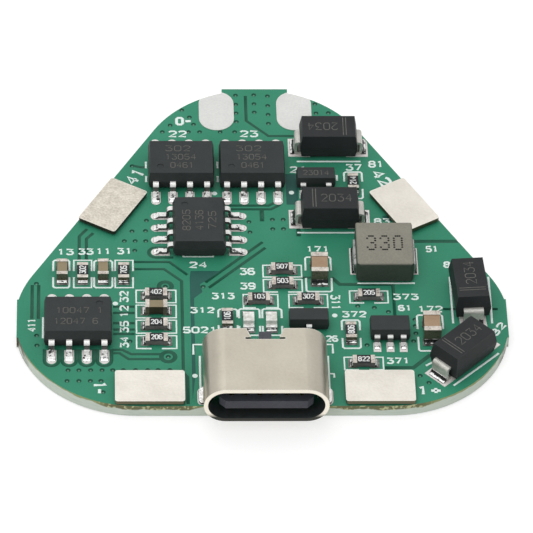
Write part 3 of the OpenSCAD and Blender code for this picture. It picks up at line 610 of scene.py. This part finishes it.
tree = tinned.node_tree
dark_reflection = 0.0
for west, east, south, north in dark_reflection_boxes:
    patch = add_group(tree, within, West=west * MM, East=east * MM, South=south * MM,
                      North=north * MM)
    dark_reflection = reckon(tree, "MAXIMUM", dark_reflection, patch)
# Painted reflection: a dark mottle over the lands inside these boxes.
cover(tree, dark_reflection, mix_colours(tree, add_tone(tree, 3000.0, 9000.0, 0.15), ink(32, 42, 38),
                               ink(160, 160, 156)))

# Solder is painted nearly white where it lies flat, and with dark and bright streaks on a slope,
# a painted reflection of the dark round it.
bright_solder, tree = new_material("bright_solder")
shader = tree.nodes["Principled BSDF"]
shader.inputs["Metallic"].default_value = 0.5
shader.inputs["Roughness"].default_value = 0.22
tone = add_tone(tree, 3000.0, 9000.0, 0.1)
flatness = fade(tree, facing(tree)["Z"], 0.5, 0.99, -0.62, 0.5)
painted_reflection_streaks = fade(tree, reckon(tree, "ADD", tone, flatness), 0.4, 0.6)
tree.links.new(mix_colours(tree, painted_reflection_streaks, ink(44, 48, 46), ink(255, 255, 253)),
               shader.inputs["Base Color"])
add_relief(tree, tone, 0.03 * MM)


def settle(piece, voxel, rounds):
    """Round a piece over on a fine grid, then let it sag into smooth slopes."""
    only(piece)
    lump = piece.modifiers.new("round_over", "REMESH")
    lump.mode = "VOXEL"
    lump.voxel_size = voxel
    lump.use_smooth_shade = True
    bpy.ops.object.modifier_apply(modifier=lump.name)
    ease = piece.modifiers.new("settle", "SMOOTH")
    ease.factor = 0.5
    ease.iterations = rounds
    bpy.ops.object.modifier_apply(modifier=ease.name)


solder = copy_of_node("solder_joints", "solder")
settle(solder, 0.04 * MM, 5)
solder.data.materials.append(bright_solder)
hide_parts("solder_joints")
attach(solder, "root")

tab_bead = copy_of_node("tab_solder", "tab_solder_bead")
settle(tab_bead, 0.1 * MM, 1)
tab_bead.data.materials.append(bright_solder)
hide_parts("tab_solder")
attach(tab_bead, "root")


# ---------- Output pads and cell tabs ----------
# The two output pads are bare tinned copper. The four tabs are blanked from thin nickel strip and
# soldered flat to the board, with a satin face and a few dents. Their cut edges carry a painted
# highlight, and their upright sides a painted shade.
pad_tin = finish("pad_tin", ink(214, 215, 212), ink(232, 232, 229), (0.45, 0.6), metal=0.3,
                 patches=500.0, grains=7000.0, fine=0.5, bump=0.003 * MM)
dress(pad_tin, "output_pads")
# Both nickel finishes have a painted highlight along their edges and a painted shade on upright
# sides.
nickel = finish("nickel_strip", ink(228, 222, 211), ink(244, 239, 229), (0.3, 0.45), metal=0.7,
                patches=500.0, grains=5000.0, fine=0.35, bump=0.012 * MM,
                edge=ink(255, 252, 244), highlight_width=0.12 * MM)
shade_upright(nickel, ink(104, 99, 78), low=0.3, high=0.6)
handled_nickel = finish("handled_nickel", ink(200, 193, 179), ink(234, 228, 215), (0.3, 0.5),
                        metal=0.7, patches=1500.0, grains=6000.0, fine=0.5, bump=0.02 * MM,
                        edge=ink(255, 252, 244), highlight_width=0.12 * MM)
shade_upright(handled_nickel, ink(74, 70, 62), low=0.3, high=0.6)
dress(nickel, "tab_minus", "tab_plus", "tab_right")
dress(handled_nickel, "tab_left")


# ---------- Chips ----------
# Black epoxy bodies are moulded round formed and tinned lead frames. The tops are finely matt
# and carry faint laser-burnt numbers, and the sides are a shade darker.
# The epoxy's edges carry a painted highlight.
epoxy = finish("chip_epoxy", ink(46, 50, 50), ink(61, 65, 65), (0.5, 0.68), patches=700.0,
               grains=14000.0, fine=0.6, bump=0.006 * MM, edge=ink(74, 76, 78),
               highlight_width=0.05 * MM)
lead_tin = finish("lead_tin", ink(244, 244, 241), ink(255, 255, 253), (0.2, 0.35), metal=0.3,
                  patches=2200.0, grains=9000.0, fine=0.3, bump=0.006 * MM)
# The upright parts of the leads take a painted shade.
shade_upright(lead_tin, ink(84, 86, 84))
# Solder has crept over the feet of the leads, and dark streaks are painted on them there,
# a painted reflection.
foot_top = board_top + 0.5 * MM
solder_line = board_top + 0.35 * MM
tree = lead_tin.node_tree
foot = fade(tree, where(tree)["Z"], foot_top, solder_line)
crept_solder_painted_streaks = fade(tree, add_tone(tree, 3400.0, 9000.0, 0.1), 0.62, 0.78)
cover(tree, reckon(tree, "MULTIPLY", foot, crept_solder_painted_streaks), ink(76, 80, 78))
bodies = ["charger_body", "transistor_left_body", "transistor_right_body", "protection_body",
          "regulator_body", "switch_far_body", "switch_near_body"]
dress(epoxy, *bodies)
dress(lead_tin, *[body.replace("body", "leads") for body in bodies])

# Plain stroke digits on a grid four wide and six high.
digit_height = 6
digit_step = 5.6
digit_gap = 1.6
strokes = {
    "0": [[(1, 0), (3, 0), (4, 1), (4, 5), (3, 6), (1, 6), (0, 5), (0, 1), (1, 0)]],
    "1": [[(0.9, 5), (2.2, 6), (2.2, 0)]],
    "2": [[(0, 5), (1, 6), (3, 6), (4, 5), (4, 3.8), (0, 0), (4, 0)]],
    "3": [[(0, 6), (4, 6), (1.8, 3.6), (3, 3.6), (4, 2.6), (4, 1), (3, 0), (1, 0), (0, 1)]],
    "4": [[(3, 0), (3, 6), (0, 2), (4, 2)]],
    "5": [[(4, 6), (0.4, 6), (0.1, 3.4), (3, 3.4), (4, 2.4), (4, 1), (3, 0), (1, 0), (0, 0.9)]],
    "6": [[(3.8, 5.2), (3, 6), (1, 6), (0, 5), (0, 1), (1, 0), (3, 0), (4, 1), (4, 2.4), (3, 3.4),
           (1, 3.4), (0, 2.5)]],
    "7": [[(0, 6), (4, 6), (1.5, 0)]],
    "8": [[(1, 3.2), (0, 2.3), (0, 1), (1, 0), (3, 0), (4, 1), (4, 2.3), (3, 3.2), (3.8, 4),
           (3.8, 5.2), (3, 6), (1, 6), (0.2, 5.2), (0.2, 4), (1, 3.2)], [(1, 3.2), (3, 3.2)]],
    "9": [[(0.2, 0.8), (1, 0), (3, 0), (4, 1), (4, 5), (3, 6), (1, 6), (0, 5), (0, 3.7),
           (1, 2.7), (3, 2.7), (4, 3.6)]],
    "+": [[(0, 3), (4, 3)], [(2, 5), (2, 1)]],
    "-": [[(0.2, 3), (3.8, 3)]],
    "|": [[(2, 0), (2, 6)]],
    " ": [],
}


def number_paths(digits, middle, width, height, turn, pen):
    """Paths of a number, with its middle and outer size given in millimetres."""
    across = (width - pen) / (digit_step * len(digits) - digit_gap)
    along = (height - pen) / digit_height
    cosine, sine = math.cos(math.radians(turn)), math.sin(math.radians(turn))
    paths = []
    for place_in_row, digit in enumerate(digits):
        for stroke in strokes[digit]:
            path = []
            for x, y in stroke:
                x = (x + digit_step * place_in_row) * across - (width - pen) / 2
                y = y * along - (height - pen) / 2
                path.append((middle[0] + x * cosine - y * sine, middle[1] + x * sine + y * cosine))
            paths.append(path)
    return paths


laser = finish("laser_mark", ink(86, 86, 83), ink(114, 113, 107), (0.6, 0.8), patches=3000.0,
               grains=14000.0, fine=0.5)
laser_pen = 0.07
mark_flatness = 0.1
transistor_rows = [("302", -0.25, 0.92, 1.9), ("13054", -0.05, 0.0, 2.3),
                   ("0461", 0.05, -0.9, 1.75)]
chip_marks = []
for body, turn, height, rows in (
        ("transistor_left_body", 0, 0.62, transistor_rows),
        ("transistor_right_body", 0, 0.62, transistor_rows),
        ("charger_body", 0, 0.62, [("10047 1", 0.1, 0.35, 3.4), ("12047 6", -0.15, -0.75, 3.2)]),
        ("switch_far_body", 0, 0.55, [("23014", 0.0, 0.0, 1.95)]),
        ("protection_body", 90, 0.62, [("8205", -0.95, -0.1, 2.2), ("4136", 0.0, -0.1, 2.1),
                                       ("725", 0.95, -0.1, 1.9)])):
    low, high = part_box(body)
    middle = (low + high) / 2 / MM
    paths = []
    for digits, across, along, width in rows:
        paths += number_paths(digits, (middle.x + across, middle.y + along), width, height, turn,
                              laser_pen)
    chip_marks.append(strands("mark", paths, laser_pen, mark_flatness, high.z))
chip_numbers = join("chip_numbers", chip_marks, laser)
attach(chip_numbers, "root")


# ---------- Diodes ----------
# Each is a black epoxy block on two flat tinned terminals that bend down its ends. A number is
# laser marked across the top, with a double line across the end that is the cathode.
# The epoxy's edges carry a painted highlight.
diode_epoxy = finish("diode_epoxy", ink(34, 37, 38), ink(49, 52, 53), (0.4, 0.6), patches=500.0,
                     grains=14000.0, fine=0.6, bump=0.006 * MM, edge=ink(72, 74, 75),
                     highlight_width=0.05 * MM)
terminal_tin = finish("terminal_tin", ink(184, 183, 176), ink(230, 229, 222), (0.4, 0.55),
                      metal=0.7, patches=1300.0, grains=8000.0, fine=0.4, bump=0.012 * MM)
diode_pen = 0.06
burnt_width = 0.075
diode_marks = []
for diode, turn, flip in (("far", 0, 180), ("mid", 0, 0), ("side", 94, 0), ("corner", 45, 0)):
    dress(diode_epoxy, "diode_%s_body" % diode)
    dress(terminal_tin, "diode_%s_terminals" % diode)
    low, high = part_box("diode_%s_body" % diode)
    middle = (low + high) / 2 / MM
    spin = math.radians(turn + flip)
    paths = []
    for digits, along, width, height in (("2034", 0.45, 2.3, 0.8), ("|", -1.3, diode_pen, 2.0),
                                         ("|", -1.08, diode_pen, 2.0)):
        at = (middle.x + along * math.cos(spin), middle.y + along * math.sin(spin))
        paths += number_paths(digits, at, width, height, turn + flip, diode_pen)
    diode_marks.append(strands("mark", paths, burnt_width, mark_flatness, high.z))
diode_numbers = join("diode_numbers", diode_marks, laser)
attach(diode_numbers, "root")


# ---------- Coil ----------
# The coil is pressed from iron powder round its winding. Its top is a warm grey, and its sides are
# painted nearly black, a painted shade. Wide tinned terminals fold up the two ends, and the number
# is jetted on in dots.
coil_skin, tree = new_material("pressed_iron")
shader = tree.nodes["Principled BSDF"]
shader.inputs["Roughness"].default_value = 0.55
tone = add_tone(tree, 600.0, 12000.0, 0.7)
# Top and sides are one material; the sides are painted dark as a painted shade.
side = mix_colours(tree, tone, ink(52, 61, 53), ink(70, 78, 69))
face = mix_colours(tree, tone, ink(120, 118, 106), ink(143, 140, 127))
tree.links.new(mix_colours(tree, fade(tree, facing(tree)["Z"], 0.3, 0.8), side, face),
               shader.inputs["Base Color"])
add_relief(tree, tone, 0.01 * MM)
dress(coil_skin, "coil_body")
coil_tin = finish("coil_terminal_tin", ink(96, 98, 96), ink(253, 253, 250), (0.2, 0.4), metal=0.5,
                  patches=800.0, grains=6000.0, fine=0.25, bump=0.03 * MM)
dress(coil_tin, "coil_terminals")

dot_radius = 0.085 * MM
digit_pitch = 0.98 * MM
column_pitch = 0.145 * MM
row_pitch = 0.235 * MM
dot_rows = {"3": ("01110", "10001", "00001", "00110", "00001", "10001", "01110"),
            "0": ("01110", "10001", "10001", "10001", "10001", "10001", "01110")}
coil_low, coil_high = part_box("coil_body")
middle = (coil_low + coil_high) / 2
bpy.ops.mesh.primitive_cylinder_add(vertices=8, radius=dot_radius, depth=0.01 * MM)
dot = bpy.context.object
dots = []
for number, digit in enumerate("330"):
    for row, line in enumerate(dot_rows[digit]):
        for column, filled in enumerate(line):
            if filled == "1":
                copy = add_object("dot", dot.data.copy())
                copy.location = (
                    middle.x + (number - 1) * digit_pitch + (column - 2) * column_pitch,
                    middle.y + (3 - row) * row_pitch, coil_high.z)
                dots.append(copy)
bpy.data.objects.remove(dot)
dot_ink = finish("dot_ink", ink(20, 17, 14), ink(34, 30, 26), (0.5, 0.7), patches=4000.0)
coil_number = join("coil_number", dots, dot_ink)
bpy.ops.object.transform_apply(location=True, rotation=True, scale=True)
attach(coil_number, "root")


# ---------- Capacitors ----------
# Fired blocks of layered ceramic, tan or brown by their grade, dipped at both ends in metal paste
# and tinned.
# The ceramic's edges carry a painted highlight.
tan_block = finish("tan_ceramic", ink(150, 122, 98), ink(176, 150, 124), (0.35, 0.55),
                   patches=900.0, grains=11000.0, fine=0.5, bump=0.006 * MM,
                   edge=ink(190, 168, 142), highlight_width=0.05 * MM)
cap_tin = finish("end_cap_tin", ink(168, 160, 151), ink(244, 236, 226), (0.2, 0.45), metal=0.6,
                 patches=1800.0, grains=9000.0, fine=0.4, bump=0.015 * MM)
# The upright faces of the blocks and caps take a painted shade.
shade_upright(tan_block, ink(112, 92, 72), low=0.2, high=0.6)
shade_upright(cap_tin, ink(108, 103, 88), low=0.15, high=0.6)
dress(tan_block, "large_capacitor_mid", "large_capacitor_side")
dress(cap_tin, "large_capacitor_mid_ends", "large_capacitor_side_ends", "small_capacitor_ends")
small_block = finish("brown_ceramic", ink(130, 119, 96), ink(156, 142, 114), (0.35, 0.55),
                     patches=500.0, grains=11000.0, fine=0.4, bump=0.006 * MM,
                     edge=ink(176, 156, 132), highlight_width=0.04 * MM)
# The upright faces of the small blocks take a painted shade.
shade_upright(small_block, ink(62, 58, 46), low=0.2, high=0.6)
dress(small_block, "small_capacitors")


# ---------- Resistors ----------
# Alumina chips, painted grey as a painted shade, with a black glaze over the resistive film, on
# which a number is printed. Their ends are wrapped in tinned caps.
# White alumina is painted grey here, a painted shade.
alumina = finish("alumina", ink(92, 88, 88), ink(134, 128, 128), (0.5, 0.7), patches=900.0,
                 grains=11000.0, fine=0.5, bump=0.006 * MM)
glaze = finish("black_glaze", ink(26, 28, 30), ink(40, 42, 44), (0.25, 0.45), patches=700.0,
               grains=9000.0, fine=0.5, bump=0.004 * MM, coat=0.2)
dress(alumina, "resistor_chips")
dress(glaze, "resistor_coats")
dress(cap_tin, "resistor_ends")


def lumps(node):
    """The lowest and highest corner of each separate lump in a node, from left to right."""
    mesh = bmesh.new()
    mesh.from_mesh(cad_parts[node].data)
    bmesh.ops.remove_doubles(mesh, verts=mesh.verts, dist=weld_distance)
    unseen = set(mesh.verts)
    found = []
    while unseen:
        reach = [unseen.pop()]
        lump = list(reach)
        while reach:
            for edge in reach.pop().link_edges:
                for end in edge.verts:
                    if end in unseen:
                        unseen.remove(end)
                        reach.append(end)
                        lump.append(end)
        found.append(tuple(Vector([pick(v.co[i] for v in lump) for i in range(3)])
                           for pick in (min, max)))
    mesh.free()
    return sorted(found, key=lambda box: (round(box[0].x, 5), box[0].y))


print_white = finish("print_white", ink(226, 230, 228), ink(246, 248, 246), (0.5, 0.7),
                     patches=3000.0, grains=12000.0, fine=0.5)
values = ["302", "705", "206", "204", "402", "106", "103", "503", "507", "302", "806", "822",
          "214", "205", "308"]
value_width, value_height, value_pen = 0.88, 0.52, 0.1
value_marks = []
for number, (low, high) in enumerate(lumps("resistor_coats")):
    middle = (low + high) / 2 / MM
    turn = 0 if high.x - low.x > high.y - low.y else 90
    paths = number_paths(values[number % len(values)], middle, value_width, value_height, turn,
                         value_pen)
    value_marks.append(strands("value", paths, value_pen, mark_flatness, high.z))
resistor_values = join("resistor_values", value_marks, print_white)
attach(resistor_values, "root")


# ---------- Lamps ----------
# Two tiny lamps beside the port. Each has a white ceramic base and a milky resin lens moulded
# over its die, and is soldered at both ends.
lamp_white = finish("lamp_ceramic", ink(222, 222, 214), ink(250, 250, 244), (0.4, 0.6),
                    patches=1500.0, grains=9000.0, fine=0.5, bump=0.01 * MM)
lens_milk = finish("lamp_lens_milk", ink(190, 191, 180), ink(255, 255, 250), (0.12, 0.3),
                   patches=3200.0, grains=9000.0, fine=0.1, bump=0.02 * MM, coat=0.3)
dress(lamp_white, "lamp_bases")
dress(lens_milk, "lamp_lenses")
dress(bright_solder, "lamp_ends")


# ---------- Charging port ----------
# A stainless steel shell is rolled round a black moulded tongue with gold contacts. Its face is
# satin, its edges and front rim carry a painted highlight, and solder holds its stakes in the
# board.
port_steel = finish("port_steel", ink(196, 189, 174), ink(208, 202, 187), (0.3, 0.42),
                    metal=0.95, patches=300.0, grains=5000.0, fine=0.4, bump=0.006 * MM,
                    edge=ink(255, 252, 244), highlight_width=0.12 * MM)
shell_low, shell_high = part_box("usb_shell")
half_width = 4.47 * MM
end_radius = 1.58 * MM
mouth_wall = 0.3 * MM
tree = port_steel.node_tree
spot = where(tree)
past_flat = reckon(tree, "MAXIMUM", 0.0, reckon(tree, "SUBTRACT",
                                                reckon(tree, "ABSOLUTE", spot["X"]),
                                                half_width - end_radius))
off_centre = reckon(tree, "SUBTRACT", spot["Z"], shell_high.z - end_radius)
reach = reckon(tree, "SQRT", reckon(tree, "ADD",
                                    reckon(tree, "MULTIPLY", past_flat, past_flat),
                                    reckon(tree, "MULTIPLY", off_centre, off_centre)))
# Inside the mouth the steel is painted darker, a painted shade, and green towards the back, a
# painted reflection of the board.
dim_start = shell_low.y + 0.8 * MM
green_start = shell_low.y + 2.2 * MM
painted_green_depth = fade(tree, spot["Y"], dim_start, green_start)
cover(tree, reckon(tree, "LESS_THAN", reach, end_radius - mouth_wall / 2),
      mix_colours(tree, painted_green_depth, ink(150, 160, 162), ink(64, 196, 146)))
# Front faces carry a painted highlight, and the lower lip, facing the floor, a painted shade.
front = reckon(tree, "LESS_THAN", facing(tree)["Y"], -0.5)
lip_top = shell_high.z - 2.4 * MM
lip_full = shell_high.z - 2.75 * MM
lip_painted_shade = fade(tree, spot["Z"], lip_top, lip_full)
cover(tree, front, ink(242, 235, 220))
cover(tree, reckon(tree, "MULTIPLY", front, lip_painted_shade), ink(66, 66, 62))
# The moulding's edges carry a painted highlight.
port_black = finish("port_moulding", ink(66, 67, 74), ink(84, 85, 92), (0.35, 0.5),
                    patches=600.0, grains=9000.0, fine=0.5, bump=0.006 * MM,
                    edge=ink(110, 112, 120), highlight_width=0.04 * MM)
gold = finish("contact_gold", ink(150, 118, 64), ink(196, 162, 98), (0.2, 0.35), metal=1.0,
              patches=2000.0, grains=9000.0, fine=0.4)
dress(port_steel, "usb_shell")
dress(port_black, "usb_moulding")
dress(gold, "usb_contacts")


# ---------- Legend ----------
# White ink is screened on the mask: an outline round most parts, a number beside each, marks for
# the first leads, and signs beside the tabs and output pads.
legend_ink = finish("legend_ink", ink(222, 244, 236), ink(245, 252, 249), (0.55, 0.75),
                    patches=2500.0, grains=12000.0, fine=0.5)
boxes = [
    [(-14.5, 0.78), (-15.1, 0.78), (-15.22, 0.66), (-15.22, -0.35)],
    [(-14.75, 0.78), (-14.15, 0.78), (-14.05, 0.66), (-14.05, -0.35)],
    [(-15.22, -1.0), (-15.22, -1.95), (-15.1, -2.08), (-14.15, -2.08), (-14.05, -1.95),
     (-14.05, -1.0)],
    [(-13.72, -0.35), (-13.72, 0.78), (-12.42, 0.78), (-12.42, -0.35)],
    [(-13.72, -1.0), (-13.72, -2.08), (-12.42, -2.08), (-12.42, -1.0)],
    [(-12.23, -0.35), (-12.23, 0.6), (-12.05, 0.78)],
    [(-11.08, 0.78), (-10.9, 0.6), (-10.9, -0.35)],
    [(-12.23, -1.0), (-12.23, -1.95), (-12.1, -2.08), (-11.03, -2.08), (-10.9, -1.95),
     (-10.9, -1.0)],
    [(-10.69, -0.35), (-10.69, 0.78), (-9.39, 0.78), (-9.39, -0.35)],
    [(-10.69, -1.0), (-10.69, -2.08), (-9.39, -2.08), (-9.39, -1.0)],
]
half_gap = 0.37
for left, right, far, near in ((-9.17, -6.27, -2.35, -3.65), (-9.17, -6.27, -3.9, -5.2),
                               (-9.17, -6.27, -5.45, -6.77), (-9.17, -6.27, -7.03, -8.33),
                               (0.16, 2.99, 0.25, -0.98), (0.16, 2.99, -1.24, -2.54),
                               (-1.35, 1.17, -2.8, -4.17), (1.98, 4.8, -2.8, -4.17),
                               (6.44, 9.23, -2.44, -3.68), (5.79, 8.6, -9.24, -10.5)):
    middle = (left + right) / 2
    boxes += [[(middle - half_gap, far), (left, far), (left, near), (middle - half_gap, near)],
              [(middle + half_gap, far), (right, far), (right, near), (middle + half_gap, near)]]
half_gap = 0.4
corner = 0.12
for left, right, far, near in ((-3.2, -1.83, -4.33, -6.8), (-1.7, -0.2, -4.3, -7.0),
                               (0.0, 1.4, -4.3, -7.0), (5.75, 7.05, -5.46, -8.33),
                               (3.3, 5.16, 1.1, -2.5), (11.25, 13.1, -4.95, -8.6),
                               (6.5, 7.83, 10.24, 7.36)):
    middle = (far + near) / 2
    boxes += [[(left, middle + half_gap), (left, far - corner), (left + corner, far),
               (right - corner, far), (right, far - corner), (right, middle + half_gap)],
              [(left, middle - half_gap), (left, near + corner), (left + corner, near),
               (right - corner, near), (right, near + corner), (right, middle - half_gap)]]
marks = [
    [(-15.93, -5.14), (-15.93, -7.28)],
    [(-5.66, 1.41), (-5.66, 1.16), (-3.48, 1.16), (-3.48, 1.41)],
    [(-8.33, 11.36), (-8.33, 10.64)], [(-8.33, 9.8), (-8.33, 9.14)],
    [(-2.98, 11.36), (-2.98, 10.64)], [(-2.98, 9.8), (-2.98, 9.14)],
    [(3.0, 11.4), (7.8, 11.4)], [(2.8, 3.7), (7.9, 3.7)], [(5.95, 9.3), (5.95, 9.9)],
    [(13.87, -0.98), (13.87, -5.8)], [(16.7, -0.98), (16.7, -5.8)],
    [(13.55, -12.1), (17.0, -8.85)], [(11.66, -10.1), (12.4, -9.6)],
    [(7.05, -1.63), (11.27, -1.63)],
    [(-4.62, -9.1), (-4.62, -12.4)], [(4.62, -9.1), (4.62, -12.4)],
    [(-4.4, -7.94), (-5.08, -7.94), (-5.08, -8.95)], [(4.5, -7.94), (5.0, -7.94), (5.0, -8.85)],
    [(4.65, -10.9), (5.0, -10.9), (5.0, -11.3)],
]
bold_pen = 0.26
fine_pen = 0.18
print_flatness = 0.12
lead_dot_radius = 0.2 * MM
printed = [strands("outlines", boxes + marks, fine_pen, print_flatness, board_top)]
for x, y in ((-10.69, -3.74), (-3.25, 7.9), (2.5, 8.0), (5.27, -4.98), (-5.0, -11.1)):
    bpy.ops.mesh.primitive_cylinder_add(vertices=14, radius=lead_dot_radius, depth=0.02 * MM,
                                        location=(x * MM, y * MM, board_top))
    printed.append(bpy.context.object)
signs = [
    ("1+", 11.78, -12.6, 1.9, 1.0, 0), ("1-", -11.85, -12.3, 1.35, 1.1, -90),
    ("0-", -5.43, 15.85, 1.35, 1.0, 0), ("41", -9.17, 9.72, 1.8, 1.15, 60),
    ("42", 9.3, 9.6, 1.9, 1.05, -60),
]
names = [
    ("13", -14.35, 1.66, 1.3, 0.72, 0), ("33", -12.85, 1.7, 1.2, 0.72, 0),
    ("11", -11.55, 1.72, 1.2, 0.72, 0), ("31", -10.0, 1.75, 1.2, 0.72, 0),
    ("32", -10.05, -3.03, 1.25, 0.72, 90), ("12", -10.05, -4.55, 1.3, 0.72, 90),
    ("35", -10.05, -6.13, 1.27, 0.72, 90), ("34", -10.05, -7.7, 1.2, 0.72, 90),
    ("411", -16.75, -5.95, 1.4, 0.68, 90), ("5021", -4.57, -6.45, 2.55, 0.72, 0),
    ("313", -2.83, -2.95, 1.75, 0.72, 0), ("312", -4.37, -4.42, 1.85, 0.68, 0),
    ("24", -4.6, 0.3, 1.4, 0.72, 0), ("36", -1.0, -0.4, 1.2, 0.78, 0),
    ("39", -1.0, -1.92, 1.2, 0.76, 0), ("311", 5.38, -3.6, 1.6, 0.78, -90),
    ("26", 4.98, -7.35, 0.95, 0.7, 0), ("372", 6.68, -4.85, 1.85, 0.7, 0),
    ("373", 10.53, -3.05, 1.95, 0.7, 0), ("61", 10.42, -4.22, 1.05, 0.68, 0),
    ("172", 12.25, -4.33, 1.9, 0.72, 0), ("371", 9.68, -9.6, 1.75, 0.7, 0),
    ("171", 4.25, 1.95, 1.8, 0.7, 0), ("51", 12.7, 1.95, 1.0, 0.72, 0),
    ("8", 13.72, 0.3, 0.55, 0.72, 0), ("82", 17.1, -6.4, 1.5, 0.68, 55),
    ("22", -5.93, 14.43, 1.45, 0.78, 0), ("23", -0.53, 14.45, 1.45, 0.78, 0),
    ("21", 3.1, 10.5, 1.4, 0.76, 0), ("37", 7.25, 10.75, 1.3, 0.78, 0),
    ("81", 8.95, 11.1, 1.2, 0.78, 0), ("83", 9.13, 4.9, 1.25, 0.72, 0),
]
for pen, rows in ((bold_pen, signs), (fine_pen, names)):
    labels = []
    for digits, x, y, width, height, turn in rows:
        labels += number_paths(digits, (x, y), width, height, turn, pen)
    printed.append(strands("labels", labels, pen, print_flatness, board_top))
legend = join("legend", printed, legend_ink)
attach(legend, "root")
